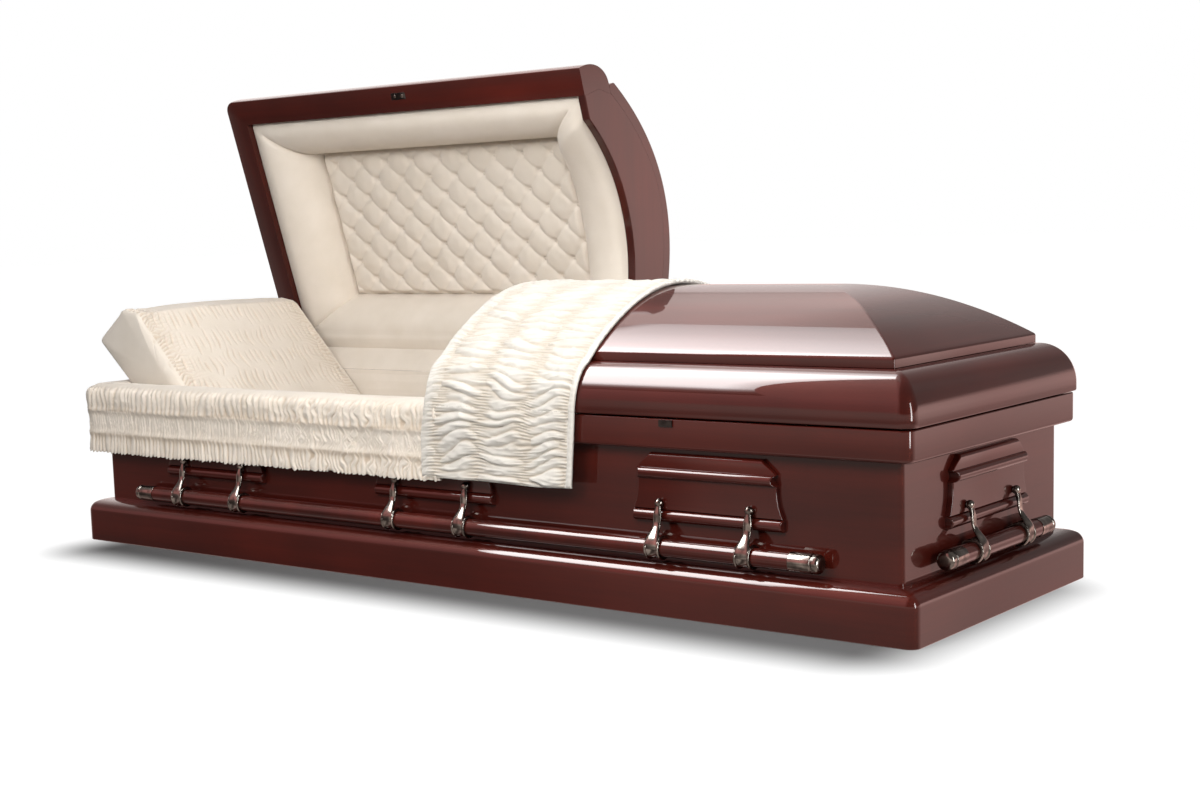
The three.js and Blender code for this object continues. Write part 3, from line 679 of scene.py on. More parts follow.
def build_handles():
    """Ears, arms, bars and caps on the four walls."""
    face, back = ear_grid()
    arm = arm_grids()
    out = np.array([0.0, -GAP, 0.0])
    walls = (
        ("front", 0, BODY_Y, (("left", -EAR_PLACE), ("middle", 0.0), ("right", EAR_PLACE)), SIDE_BAR),
        ("back", 180, BODY_Y, (("left", -EAR_PLACE), ("middle", 0.0), ("right", EAR_PLACE)), SIDE_BAR),
        ("head", -90, BODY_X, (("middle", 0.0),), END_BAR),
        ("foot", 90, BODY_X, (("middle", 0.0),), END_BAR),
    )
    for wall, turn, distance, ears, half in walls:
        body = f"{wall}_handle"
        for place, along in ears:
            grids = [on_wall(grid + out, along, distance, turn) for grid in (face, back)]
            make_piece(f"ear_{wall}_{place}_moulded", grids, "casket", wood,
                       [f"ear_{wall}_{place}"])
            for letter, shift in (("a", -ARM_HALF), ("b", ARM_HALF)):
                grids = [on_wall(grid + out, along + shift, distance, turn) for grid in arm]
                make_piece(f"arm_{wall}_{place}_{letter}_cast", grids, body, nickel,
                           [f"arm_{wall}_{place}_{letter}"], 50.0)
        bar, cap = bar_grids(half)
        make_piece(f"bar_{wall}_turned", [on_wall(bar + out, 0.0, distance, turn)], body, wood,
                   [f"bar_{wall}"])
        for letter, mirror in (("a", 1.0), ("b", -1.0)):
            grid = on_wall(cap * np.array([mirror, 1.0, 1.0]) + out, 0.0, distance, turn)
            make_piece(f"cap_{wall}_{letter}", [grid], body, nickel)


# Padding of the head lid


def build_lid_padding():
    """The padded roll and the tufted panel of the head lid, drawn shut and then turned open."""
    x0, x1, y0, y1 = -0.9894, 0.0294, -0.2794, 0.2794
    count = 60
    share = np.linspace(0.0, 1.0, count)

    def loop(ax, bx, ay, by):
        x = np.concatenate([blend_between(ax, bx, share), np.full(count, bx),
                            blend_between(bx, ax, share), np.full(count, ax)])
        y = np.concatenate([np.full(count, ay), blend_between(ay, by, share),
                            np.full(count, by), blend_between(by, ay, share)])
        return x, y

    outer_x, outer_y = loop(x0, x1, y0, y1)
    inner_x, inner_y = loop(PANEL_X0, PANEL_X1, PANEL_Y0, PANEL_Y1)
    at_cut = np.zeros(4 * count)
    at_cut[count:2 * count] = 1.0
    foot = RIM_BOTTOM + 0.004 + at_cut * (arch_height(outer_y) - RIM_BOTTOM) * 0.97
    phi = np.radians(np.linspace(0.0, 90.0, 26))[:, None]
    x = blend_between(outer_x, inner_x, np.sin(phi))
    y = blend_between(outer_y, inner_y, np.sin(phi))
    z = PANEL_Z - (PANEL_Z - foot) * np.cos(phi)
    mitre = np.abs(np.linspace(-1.0, 1.0, count))
    seam = np.tile(np.exp(-((1.0 - mitre) * 60.0) ** 2), 4)
    z = z + 0.0025 * seam * np.cos(phi) + 0.0016 * soft_noise(outer_x * 5 + 9, outer_y * 5 + 9, 5) * np.sin(2 * phi)
    z = z - 0.004 * np.sin(2 * phi) * (1.0 - seam)
    at_hinge = np.zeros(4 * count)
    at_hinge[2 * count:3 * count] = 1.0
    z = z + 0.012 * (1.0 - at_hinge) * np.clip(1.0 - np.sin(phi) / 0.38, 0.0, 1.0) ** 2
    front = np.dstack([x, y, z])
    back = np.stack([
        np.stack([inner_x, inner_y, np.full(4 * count, PANEL_Z + 0.018)], 1),
        np.stack([outer_x, outer_y, foot + 0.03], 1),
    ])
    roll = make_piece("lid_roll_padding", [opened(np.concatenate([front, back, front[:1]]))], "head_lid", cream,
                      ["lid_padded_roll"], 55.0)

    margin = 0.0006
    across, down = 256, 128
    x, y = np.meshgrid(np.linspace(PANEL_X0 + margin, PANEL_X1 - margin, across),
                       np.linspace(PANEL_Y0 + margin, PANEL_Y1 - margin, down))
    pitch = 0.084
    first_x, first_y = PANEL_X0 + 0.042, PANEL_Y0 + 0.036
    p = (x - first_x) / pitch + (y - first_y) / pitch
    q = (x - first_x) / pitch - (y - first_y) / pitch
    crease_p, crease_q = np.abs(np.sin(math.pi * p)), np.abs(np.sin(math.pi * q))
    to_button = np.hypot(p - np.round(p), q - np.round(q)) * pitch / math.sqrt(2)
    puff = 0.0075 * (crease_p**0.45) * (crease_q**0.38) + 0.0085 * (1 - np.exp(-(to_button / 0.0085) ** 2))
    edge = np.minimum.reduce([x - PANEL_X0, PANEL_X1 - x, y - PANEL_Y0, PANEL_Y1 - y])
    puff = (puff + 0.0012 * soft_noise(x * 60, y * 60, 11) * crease_p) * ease(edge / 0.016)
    face = np.dstack([x, y, PANEL_Z + 0.004 - puff])
    flat = np.dstack([x, y, np.full_like(x, PANEL_Z + 0.0176)])
    rim = [np.stack([a, b]) for a, b in (
        (face[0], flat[0]), (face[-1], flat[-1]), (face[:, 0], flat[:, 0]), (face[:, -1], flat[:, -1]))]
    panel = make_piece("lid_tufting", [opened(grid) for grid in (face, flat, *rim)], "head_lid", cream,
                       ["lid_tufted_panel"], 60.0)

    angle = np.radians(np.linspace(0, 90, 5))
    dome = lathe(np.stack([-np.sin(angle) * 0.0022, np.cos(angle) * 0.0042], 1), 12)
    dome = np.stack([dome[..., 1], dome[..., 2], dome[..., 0]], -1)
    buttons = []
    for row in range(8):
        for column in range(9):
            place = (first_x + (column + 0.5 * (row % 2)) * pitch, first_y + row * pitch / 2, PANEL_Z + 0.002)
            buttons.append(opened(dome + np.array(place)))
    make_piece("lid_buttons", buttons, "head_lid", cream, (), 60.0, False)


# Gathered cloth


def gathers(across, along, lines, waves, depths, seed, pinch=0.0020, reach=0.016, sharp=2.0, wander=0.45,
            spread=(0.42, 0.62), low=0.45):
    """Cloth gathered between rows of stitching: its height, and how deep in a fold each point lies.
    A band holds one puff for each wave along the rows. With f from -1 to 1 across a puff and e falling
    from 1 at its middle to 0 at its two ends, it stands depth * e * (1 - |f / sqrt(e)|^sharp)^0.75 high:
    a lens. Close to the rows only fine pinches are left."""
    step = along / waves[0]
    fine = np.abs(np.sin(2.9 * math.pi * step + 1.6 * soft_noise(step * 1.3, 0.37 + 0 * step, seed)))
    shape = np.broadcast(across, along).shape
    height, deep = np.zeros(shape), np.zeros(shape)
    for number in range(len(lines) - 1):
        width = lines[number + 1] - lines[number]
        t = (across - lines[number]) / width
        inside = (t >= 0) & (t <= 1)
        t = np.clip(t, 0, 1)
        step = along / waves[number] + 0 * t
        phase = step + wander * soft_noise(step * 0.45 + 3.1 * number, t * 1.3 + 7.0 * number, seed + 1)
        puff = np.floor(phase).astype(int) % 512
        f = 2.0 * (phase - np.floor(phase)) - 1.0
        dice = np.random.default_rng(seed + 10 + number).uniform(0.0, 1.0, (512, 3))
        centre = 0.38 + 0.24 * dice[puff, 0]
        reach_t = spread[0] + (spread[1] - spread[0]) * dice[puff, 1]
        strength = low + (1.1 - low) * dice[puff, 2]
        e = np.sqrt(np.clip(1.0 - ((t - centre) / reach_t) ** 2, 0.0, 1.0)) * np.sin(math.pi * t) ** 0.35
        lens = e * np.clip(1.0 - np.abs(f / np.sqrt(np.maximum(e, 0.02))) ** sharp, 0.0, 1.0) ** 0.75
        near = np.exp(-(np.minimum(t, 1 - t) * width / reach) ** 2)
        crease = 1.0 - 2.2 * np.abs(soft_noise(step * 2.3 + 5.0, t * 2.4 + 3.0 * number, seed + 4))
        lens = lens * strength + 0.26 * e * np.clip(crease, 0.0, 1.0)
        height = np.where(inside, depths[number] * lens + pinch * near * fine, height)
        # Painted shade: darkest between the puffs and in the fine pinches by the rows.
        shade = np.clip(1.0 - lens / 0.55, 0.0, 1.0) ** 1.5 * (1.0 - 0.5 * near) + near * 0.8 * (1.0 - fine)
        deep = np.where(inside, shade, deep)
    return height, np.clip(deep, 0.0, 1.0)


def creases(across, along, lines, pitch, seed):
    """Cloth wrinkled in short sharp creases between rows of stitching, as a depth from 0 to 1. With f
    from -1 to 1 over one crease's share of the row and e falling from 1 at its middle to 0 at its ends,
    the depth is e * exp(-(f / 0.26)^2), times a strength that differs from crease to crease."""
    deep = np.zeros(np.broadcast(across, along).shape)
    for number in range(len(lines) - 1):
        t = (across - lines[number]) / (lines[number + 1] - lines[number]) + 0 * along
        step = along / pitch + 0.4 * soft_noise(along / pitch * 0.4, 1.5 * t + 3.1 * number, seed + 1)
        dice = np.random.default_rng(seed + 10 + number).uniform(0.0, 1.0, (512, 4))
        dice = dice[np.floor(step).astype(int) % 512]
        f = 2.0 * (step - np.floor(step)) - 1.0 - 0.4 * (dice[..., 3] - 0.5)
        reach = 0.22 + 0.32 * dice[..., 1]
        e = np.clip(1.0 - ((t - 0.35 - 0.30 * dice[..., 0]) / reach) ** 2, 0.0, 1.0)
        inside = (t >= 0) & (t <= 1)
        deep = np.where(inside, e * np.exp(-(f / 0.26) ** 2) * (0.25 + 0.75 * dice[..., 2]), deep)
    return deep


def rail_plan(out, place):
    """Plan of a cloth over the front and head rails. out is the distance outside the rail; place
    runs 0 to 1 along the front to the corner, 1 to 2 round it and 2 to 3 along the head end."""
    half_x, half_y = RAIL_X + out, RAIL_Y + out
    radius = np.maximum(RAIL_CORNER + out, 0.002)
    start_x, end_y = 0.047, 0.272
    turn = np.clip(place - 1, 0, 1) * math.pi / 2
    front_x = blend_between(start_x, -(half_x - radius), np.clip(place, 0, 1))
    head_y = blend_between(-(half_y - radius), end_y, np.clip(place - 2, 0, 1))
    x = np.where(place <= 1, front_x, -(half_x - radius) - radius * np.sin(turn))
    y = np.where(place <= 2, -(half_y - radius) - radius * np.cos(turn), head_y)
    return x, y


def build_extendover():
    """The gathered cloth over the front and head rails: a soft roll on the rail, pleats, a band of
    shirring and pleats again down to the hem."""
    place = np.concatenate([np.linspace(0, 1, 600), np.linspace(1, 2, 18)[1:], np.linspace(2, 3, 280)[1:]])
    along = np.interp(place, [0, 1, 2, 3], [0.0, 1.071, 1.112, 1.70])
    shoulder = quarter((-0.022, 0.3400), 0.0310, 0.0268, 0, 90, 14)
    hem = np.array([[0.0035, 0.2128], [0.0060, 0.2120]])
    face = np.stack([np.full(54, 0.0090), np.linspace(0.2126, 0.3385, 54)], 1)
    top = np.array([[-0.028, 0.3668], [-0.034, 0.3667], [-0.040, 0.3664], [-0.048, 0.3648], [-0.0545, 0.3610],
                    [-0.0590, 0.3550], [-0.0598, 0.3450], [-0.0598, 0.3300]])
    section = np.concatenate([hem, face, shoulder, top])
    down = np.concatenate([[0.0], np.cumsum(np.linalg.norm(np.diff(section, axis=0), axis=1))])
    down = (down[len(hem) + len(face) + 9] - down)[:, None]
    lines = [0.0, 0.062, 0.114, 0.235]
    waves = [0.0165, 0.0080, 0.0130]
    depths = [0.0076, 0.0040, 0.0056]
    loose = ease((0.62 - along) / 0.30)[None, :]
    warped = along[None, :] + loose * 0.010 * soft_noise(along[None, :] / 0.017, down / 0.016, 21)
    warped = warped + 0.004 * soft_noise(along[None, :] / 0.060, down / 0.035, 24)
    height, deep = gathers(down + 0.005 * soft_noise(along[None, :] / 0.05, 0 * down, 22), warped, lines, waves,
                           depths, 23, 0.0008, 0.006, 1.7, 0.50, (0.70, 1.1), 0.50)
    band = ((down > lines[1]) & (down < lines[-2])).astype(float)
    sag = 0.0026 * soft_noise(along[None, :] / 0.060, down / 0.060, 27)
    belly = -0.0025 * np.exp(-((down - 0.088) / 0.030) ** 2)
    belly = belly + 0.0036 * sum(np.exp(-((down - line) / 0.007) ** 2) for line in lines[1:3])
    fade = ease((down + 0.002) / 0.022)
    bulge = np.where(down > -0.01, (height + sag + belly) * fade, 0.0008 * soft_noise(
        along[None, :] / 0.05, down / 0.03, 29))
    normal = np.gradient(section, axis=0)
    normal = np.stack([normal[:, 1], -normal[:, 0]], 1) / np.linalg.norm(normal, axis=1, keepdims=True)
    normal[:len(hem)] = (1.0, 0.0)
    bulge[:len(hem)] = bulge[len(hem)]
    out = section[:, :1] + normal[:, :1] * bulge
    z = section[:, 1:] + normal[:, 1:] * bulge
    skirt = ease((0.228 - section[:, 1:]) / 0.02)
    scallop = 0.0018 * np.abs(np.sin(math.pi * warped[len(hem)] / waves[-1]))[None, :]
    z = z + skirt * (0.0022 * soft_noise(along[None, :] / 0.05, 0.5 + 0 * down, 31) - scallop)
    x, y = rail_plan(out, place[None, :])
    outer = np.dstack([x, y, z])
    under = np.array([[0.0035, 0.2128], [0.0006, 0.2160], [0.0006, 0.3546], [-0.0586, 0.3546], [-0.0590, 0.3300],
                      [-0.0598, 0.3300]])
    out = np.broadcast_to(under[:, :1], (len(under), len(place)))
    x, y = rail_plan(out, place[None, :])
    inner = np.dstack([x, y, np.broadcast_to(under[:, 1:], x.shape)])
    inner[0], inner[-1] = outer[0], outer[-1]
    ends = [np.concatenate([outer[:, column], inner[-2:0:-1, column]]) for column in (0, -1)]
    # Painted shade in the pleats and shirring, half as strong in the shirring band, faded out towards the top of
    # the rail.
    cloth = make_piece("extendover_cloth", [outer, inner], "casket", cream, ["extendover"],
                       70.0, caps=ends, folds=deep * fade * blend_between(1.0, 0.5, band))
    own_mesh(cloth)


def throw_path():
    """Section of the throw over the foot lid as (y, z): up the front, round the nose and over the
    crown to its rear edge, evenly stepped and eased."""
    hang = [(-0.3462, 0.2160), (-0.3462, 0.3700)]
    nose = quarter((-0.2820, 0.3720), 0.0625, 0.0800, 176, 108, 12)
    y = np.linspace(-0.2830, 0.2840, 60)
    dome = np.stack([y, crown_height(CROWN_Y - np.minimum(np.abs(y), CROWN_Y)) + 0.0042], 1)
    dome = dome[np.abs(y) < 0.2815]
    path = np.concatenate([hang, nose, dome])
    run = np.concatenate([[0.0], np.cumsum(np.linalg.norm(np.diff(path, axis=0), axis=1))])
    even = np.linspace(0, run[-1], 521)
    path = np.stack([np.interp(even, run, path[:, i]) for i in (0, 1)], 1)
    width = 15
    kernel = np.hanning(width + 2)[1:-1]
    kernel /= kernel.sum()
    padded = np.pad(path, ((width // 2, width // 2), (0, 0)), mode="reflect", reflect_type="odd")
    path = np.stack([np.convolve(padded[:, i], kernel, "valid") for i in (0, 1)], 1)
    return path, even


def build_throw():
    """The shirred throw over the foot lid: puffs between rows of gathering, a folded edge towards
    the head and a flat welt towards the foot. Its hanging flap is a piece of its own."""
    path, run = throw_path()
    x = np.unique(np.concatenate([np.linspace(0.0085, 0.3715, 180), np.linspace(0.3715, 0.3845, 10)]))
    along, across = run[:, None], x[None, :]
    lines = [-0.004, 0.046, 0.158, 0.270, 0.372]
    loose = ease((0.30 - along) / 0.20)
    warp = 0.006 * soft_noise(across / 0.050, along / 0.060, 41) + 0.006 * loose * soft_noise(
        across / 0.080, along / 0.050, 40)
    waves, depths = [0.0180, 0.0205, 0.0215, 0.0200], [0.0050, 0.0078, 0.0078, 0.0070]
    height, deep = gathers(across + 0.005 * soft_noise(0 * across, along / 0.05, 42), along + warp, lines, waves,
                           depths, 43, 0.0034, 0.022, 2.0, 0.80, (0.38, 0.80), 0.32)
    height = height + 0.0025 * loose * soft_noise(across / 0.07, along / 0.05, 44)
    height = height + 0.0010 * soft_noise(across / 0.014, along / 0.006, 45)
    welt = ease((across - 0.3715) / 0.002)
    ridge = ease((along - 0.42) / 0.20)
    bead = 0.0045 * np.sqrt(np.clip(1 - ((across - 0.3785) / 0.0070) ** 2, 0, 1))
    bead = bead + (0.0007 + 0.0028 * ridge) * np.abs(
        np.sin(math.pi * along / 0.0115 + 1.6 * soft_noise(along / 0.02, 0 * across, 46)))
    height = blend_between(height, bead, welt)
    inward = np.clip((across - 0.0085) / 0.035, 0, 1)
    fold = 0.0034 * np.sqrt(np.clip((across - 0.0085) / 0.006, 0, 1))
    height = fold * (1.0 - inward) + height * (0.25 + 0.75 * ease(inward))
    height = height * (0.4 + 0.6 * ease(along / 0.006))
    slope = np.gradient(path, axis=0)
    normal = np.stack([-slope[:, 1], slope[:, 0]], 1) / np.linalg.norm(slope, axis=1, keepdims=True)
    wave = 0.0030 * soft_noise(across / 0.10, 0.4 + 0 * along, 47) * ease((0.05 - along) / 0.05)
    y = path[:, :1] + normal[:, :1] * height
    z = path[:, 1:] + normal[:, 1:] * height + wave
    left = np.interp(run, [0.0, 0.08, 0.17, 0.35, 0.45, 0.85], [0.003, 0.003, 0.020, 0.023, 0.016, 0.011])
    right = np.interp(run, [0.0, 0.12, 0.20, 0.85], [0.371, 0.381, 0.386, 0.388])
    share = (across - x[0]) / (x[-1] - x[0])
    edge_x = blend_between(left[:, None], right[:, None], share) + 0.003 * soft_noise(
        0 * across, along / 0.09, 48) * ease((0.06 - across) / 0.05)
    outer = np.dstack([edge_x, y, z])
    normals = grid_normals(outer)
    middle = np.array([0, len(x) // 2, len(x) - 1])
    inner = np.dstack([edge_x[:, middle], np.broadcast_to(path[:, :1] - normal[:, :1] * 0.0016, (len(run), 3)),
                       np.broadcast_to(path[:, 1:] - normal[:, 1:] * 0.0016, (len(run), 3)) + wave[:, middle]])
    inner[:, 0] = blend_between(outer[:, 0], inner[:, 0], 0.999)
    # Painted shade deep in the gathers: none on the welt, and faded out towards the folded edge.
    deep = 0.8 * deep * (1 - welt) * ease(inward)
    cut = int(np.argmax(path[:, 1] > 0.357))
    for name, rows in (("throw_flap", slice(0, cut + 1)), ("throw_cloth", slice(cut, None))):
        face, back = outer[rows], inner[rows]
        sides = [np.stack([face[:, column], back[:, column]], 1) for column in (0, -1)]
        ends = [np.concatenate([face[row], back[row, ::-1]]) for row in (0, -1)]
        piece = make_piece(name, [face, back, *sides], "foot_lid", ivory,
                           ["throw"] if name == "throw_cloth" else (), 75.0, caps=ends,
                           normals=-normals[rows] if normals[5, 5, 1] > 0 else normals[rows], folds=deep[rows])
        if name == "throw_flap":
            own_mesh(piece)


# Bedding


def build_bedding():
    """Box lining and mattress."""
    profile = np.array([[0.0003, 0.0185], [0.0003, 0.3535], [0.0018, 0.3538], [0.0036, 0.3535], [0.0040, 0.350],
                        *[[0.0040, z] for z in np.linspace(0.345, 0.022, 24)], [0.0038, 0.0185], [0.0003, 0.0185]])
    inset = profile[:, 0]
    loops = ring_loops(0.990 - inset, 0.280 - inset, np.full(len(inset), 0.004), 3)
    many = np.linspace(0, 1, 1600)
    run = np.concatenate([[0.0], np.cumsum(np.linalg.norm(np.diff(loops[0], axis=0), axis=1))])
    loops = np.stack([np.stack([np.interp(many * run[-1], run, loop[:, i]) for i in (0, 1)], 1) for loop in loops])
    lining = make_piece("box_lining_cloth", [swept(profile, loops)], "casket", cream,
                        ["box_lining"], 60.0)

    side = rounded_profile([(0.060, 0.0185, 0.0), (0.0, 0.0185, 0.012), (0.0, 0.150, 0.030),
                            (0.060, 0.157, 0.030)], 8)[:-1]
    crown = np.stack([np.linspace(0.068, 0.2690, 22), 0.157 + 0.003 * np.sin(
        np.linspace(0, math.pi / 2, 22))], 1)
    profile = np.concatenate([side, crown])
    inset = profile[:, 0]
    loops = ring_loops(0.9790 - inset, 0.2690 - inset + 1e-6, np.maximum(1e-6, 0.040 - inset), 8)
    mattress = make_piece("mattress_cloth", [swept(profile, loops)], "casket", cream,
                          ["mattress"], 60.0, closed=True)


def build_pillow():
    """A boxed pillow leaning up the head end: plain end panels, and a shirred top whose wrinkles
    run down the slope between rows of gathering. Its section is a box with a bevelled top edge."""
    half = 0.256
    corner = rounded_profile([
        (-0.254, -0.054, 0.012), (0.2085, -0.050, 0.034), (0.2085, 0.058, 0.040), (-0.192, 0.084, 0.005),
        (-0.236, 0.055, 0.010)], 8)
    run = np.concatenate([[0.0], np.cumsum(np.linalg.norm(np.diff(corner, axis=0), axis=1))])
    even = np.linspace(0, run[-1], 1500)
    weight = np.cumsum(np.where(np.interp(even, run, corner[:, 1]) > 0.045, 4.0, 1.0))
    even = np.interp(np.linspace(weight[0], weight[-1], 296), weight, even)
    loop = np.stack([np.interp(even, run, corner[:, i]) for i in (0, 1)], 1)
    slope = np.gradient(loop, axis=0)
    slope[0] = slope[-1] = slope[0] + slope[-1]
    normal = np.stack([slope[:, 1], -slope[:, 0]], 1) / np.linalg.norm(slope, axis=1, keepdims=True)
    w = np.linspace(-half, half, 286)[:, None]
    down = loop[None, :, 0] + 0 * w
    top = ease((loop[None, :, 1] - 0.040) / 0.020)
    lines = [-0.205, -0.128, -0.058, 0.012, 0.085, 0.240]
    warp = 0.004 * soft_noise(w / 0.05, down / 0.04, 61)
    deep = creases(down + 0.010 * soft_noise(w / 0.07, 0 * down, 62), w + warp + 0.12 * down, lines, 0.0165, 63)
    height = 0.0048 * (1.0 - deep)
    for side, strength in ((-1, 0.0058), (1, 0.0022)):
        inward = np.maximum(half - side * w - 0.004, 0.0)
        rope = np.abs(np.sin(math.pi * (down + 0.25 * inward) / 0.0105 + 2.2 * soft_noise(
            down / 0.018, inward / 0.020, 64 + side)))
        near = np.exp(-(inward / 0.045) ** 1.5) * ease(inward / 0.004)
        height = height + strength * near * rope
        # deep is also painted shade: darker between the rope gathers near the seams.
        deep = np.clip(deep * (1 - near) + near * (1 - rope), 0, 1)
    lumps = 0.004 * soft_noise(w / 0.12, even[None, :] / 0.12, 66) * ease((half - np.abs(w)) / 0.10)
    full = 0.012 * np.cos(math.pi / 2 * w / half) ** 0.7
    lift = height * top + lumps + full * np.abs(normal[None, :, 1]) - 0.003
    seam = 0.0030 * np.exp(-((np.abs(w) - half + 0.003) / 0.0026) ** 2)
    a = loop[None, :, 0] + normal[None, :, 0] * (lift + seam)
    b = loop[None, :, 1] + normal[None, :, 1] * (lift + seam)
    ends = []
    for row, side in ((0, -1.0), (-1, 1.0)):
        shrink = np.concatenate([[1.0], np.linspace(0.985, 0.03, 18)])
        bulge = 0.010 * (1 - shrink**3) + 0.0015
        bulge[0] = 0.0
        middle_a, middle_b = a[row].mean(), b[row].mean()
        ends.append([np.stack([middle_a + s * (a[row] - middle_a), np.full(len(loop), side * (half + k)),
                               middle_b + s * (b[row] - middle_b)], 1) for s, k in zip(shrink, bulge)])
    points = np.concatenate([ends[0][::-1][:-1], np.dstack([a, w + 0 * a, b]), ends[1][1:]])
    tilt = math.radians(43.0)
    c, s = math.cos(tilt), math.sin(tilt)
    x, z = points[..., 0] * c + points[..., 2] * s, -points[..., 0] * s + points[..., 2] * c
    points = np.stack([x - 0.8695, points[..., 1], z + 0.3270], -1)
    # Painted shade in the top's wrinkles and gathers, carried by the fold attribute.
    shade = np.zeros(points.shape[:2])
    shade[len(ends[0]) - 1:len(ends[0]) - 1 + len(w)] = deep * top
    poles = [points[0, :-1], points[-1, :-1]]
    piece = make_piece("pillow_cloth", [points], "casket", cream, ["pillow"], 75.0, caps=poles,
                       folds=shade)
    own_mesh(piece)


def build_linings():
    """The cloth from the head lid's padding down over the rear rail, and the foot lid's lining."""
    valance = opened(np.array([(0.0, 0.2620, 0.3612), (0.0, 0.2700, 0.3588), (0.0, 0.2760, 0.3562),
                               (0.0, 0.2800, 0.3550), (0.0, 0.2900, 0.3545), (0.0, 0.3000, 0.3549), (0.0, 0.3055, 0.3559), (0.0, 0.3062, 0.3564),
                               (0.0, 0.3040, 0.3569)]))[:, 1:]
    drop = np.array([(0.3235, 0.3990), (0.3080, 0.3850), (0.2940, 0.3720), (0.2830, 0.3590), (0.2760, 0.3450),
                     (0.2720, 0.3280), (0.2706, 0.3080), (0.2706, 0.2500)])
    fall = np.concatenate([valance, drop])
    run = np.concatenate([[0.0], np.cumsum(np.linalg.norm(np.diff(fall, axis=0), axis=1))])
    even = np.linspace(0, run[-1], 140)
    fall = np.stack([np.interp(even, run, fall[:, i]) for i in (0, 1)], 1)
    fall = np.concatenate([fall[:1], (fall[:-2] + 2 * fall[1:-1] + fall[2:]) / 4, fall[-1:]])
    x = np.linspace(-0.984, 0.0250, 260)[None, :]
    y = fall[:, :1] + 0.0008 * soft_noise(x / 0.09, even[:, None] / 0.05, 71)
    face = np.dstack([x + 0 * y, y, fall[:, 1:] + 0 * x])
    piece = make_piece("hinge_side_lining", [face], None, cream, (), 70.0, closed=False)
    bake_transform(piece)

    inset = np.concatenate([[0.0, 0.0004, 0.0006], np.linspace(0.020, CROWN_Y - 0.0012, 26)])
    inner = crown_height(np.clip(inset - CROWN_THICK, 0, None)) - CROWN_THICK - 0.0030
    z = np.concatenate([[0.3600, 0.3850, 0.4085], np.maximum(0.4420, inner[3:])])
    half_x, half_y = 0.9880 - inset, 0.2785 - inset + 0.0008
    loops = cut_loops(half_x, half_y, np.maximum(0.0004, 0.004 - inset), 0.0735, 1.0, 4)
    vault = swept(np.stack([inset, z], 1), loops)
    piece = make_piece("foot_lid_lining", [vault], "foot_lid", cream, (), 60.0, closed=False)


def build_catch():
    """The catch plate under the head lid's front edge, with two screws."""
    x = np.array([-0.0220, 0.0220])
    plan = rounded_profile([(-0.0220, -0.0080, 0.002), (0.0220, -0.0080, 0.002), (0.0220, 0.0080, 0.002),
                            (-0.0220, 0.0080, 0.002)], 4)
    centre = np.array([-0.472, -0.316])
    rows = [(1.0, RIM_BOTTOM - 0.0001), (1.0, RIM_BOTTOM - 0.0005), (0.97, RIM_BOTTOM - 0.0008),
            (0.0, RIM_BOTTOM - 0.0008)]
    plate = np.stack([np.column_stack([centre + share * plan, np.full(len(plan), z)]) for share, z in rows])
    angle = np.radians(np.linspace(0, 90, 6))
    dome = lathe(np.stack([-np.sin(angle) * 0.0005, np.cos(angle) * 0.0034], 1), 20)
    dome = np.stack([dome[..., 1], dome[..., 2], dome[..., 0]], -1)
    screws = [opened(dome + np.array([*centre, RIM_BOTTOM - 0.0008]) + np.array([side * 0.5, 0, 0])) for side in x]
    make_piece("lid_catch", [opened(plate)], "head_lid", dark_nickel, ["lid_catch_plate"], 40.0)
    make_piece("lid_catch_screws", screws, "head_lid", nickel, (), 40.0, False)


# Camera, floor and light


def place_camera():
    """The photograph's viewpoint: place, heading, tilt, roll, focal length and picture centre."""
    yaw, pitch, roll = (math.radians(a) for a in (-40.549, -7.556, -2.126))
    ahead = np.array([math.sin(yaw) * math.cos(pitch), math.cos(yaw) * math.cos(pitch), math.sin(pitch)])
    right = np.cross(ahead, [0.0, 0.0, 1.0])
    right /= np.linalg.norm(right)
    up = np.cross(right, ahead)
    turned_right = math.cos(roll) * right + math.sin(roll) * up
    turned_up = -math.sin(roll) * right + math.cos(roll) * up
    data = bpy.data.cameras.new("camera")
    data.sensor_width = 36.0
    data.lens = 1831.4 / 1200.0 * data.sensor_width
    data.shift_x = (600.0 - 473.3) / 1200.0
    data.shift_y = (458.5 - 400.0) / 1200.0
    camera = bpy.data.objects.new("camera", data)
    matrix = np.eye(4)
    matrix[:3, 0], matrix[:3, 1], matrix[:3, 2] = turned_right, turned_up, -ahead
    matrix[:3, 3] = (2.3980, -2.9896, 0.7212)
    camera.matrix_world = Matrix(matrix.tolist())
    bpy.context.scene.collection.objects.link(camera)
    bpy.context.scene.camera = camera


def soft_box(name, place, target, size, power, spread=180.0):
    """A rectangular lamp that faces a target."""
    data = bpy.data.lights.new(name, "AREA")
    data.shape = "RECTANGLE"
    data.size, data.size_y = size
    data.energy = power
    data.spread = math.radians(spread)
    lamp = bpy.data.objects.new(name, data)
    ahead = np.array(target, float) - np.array(place, float)
    ahead /= np.linalg.norm(ahead)
    right = np.cross(ahead, [0.0, 1.0, 0.0] if abs(ahead[2]) > 0.9 else [0.0, 0.0, 1.0])
    right /= np.linalg.norm(right)
    matrix = np.eye(4)
    matrix[:3, 0], matrix[:3, 1], matrix[:3, 2] = right, np.cross(right, ahead), -ahead
    matrix[:3, 3] = place
    lamp.matrix_world = Matrix(matrix.tolist())
    bpy.context.scene.collection.objects.link(lamp)
    return lamp


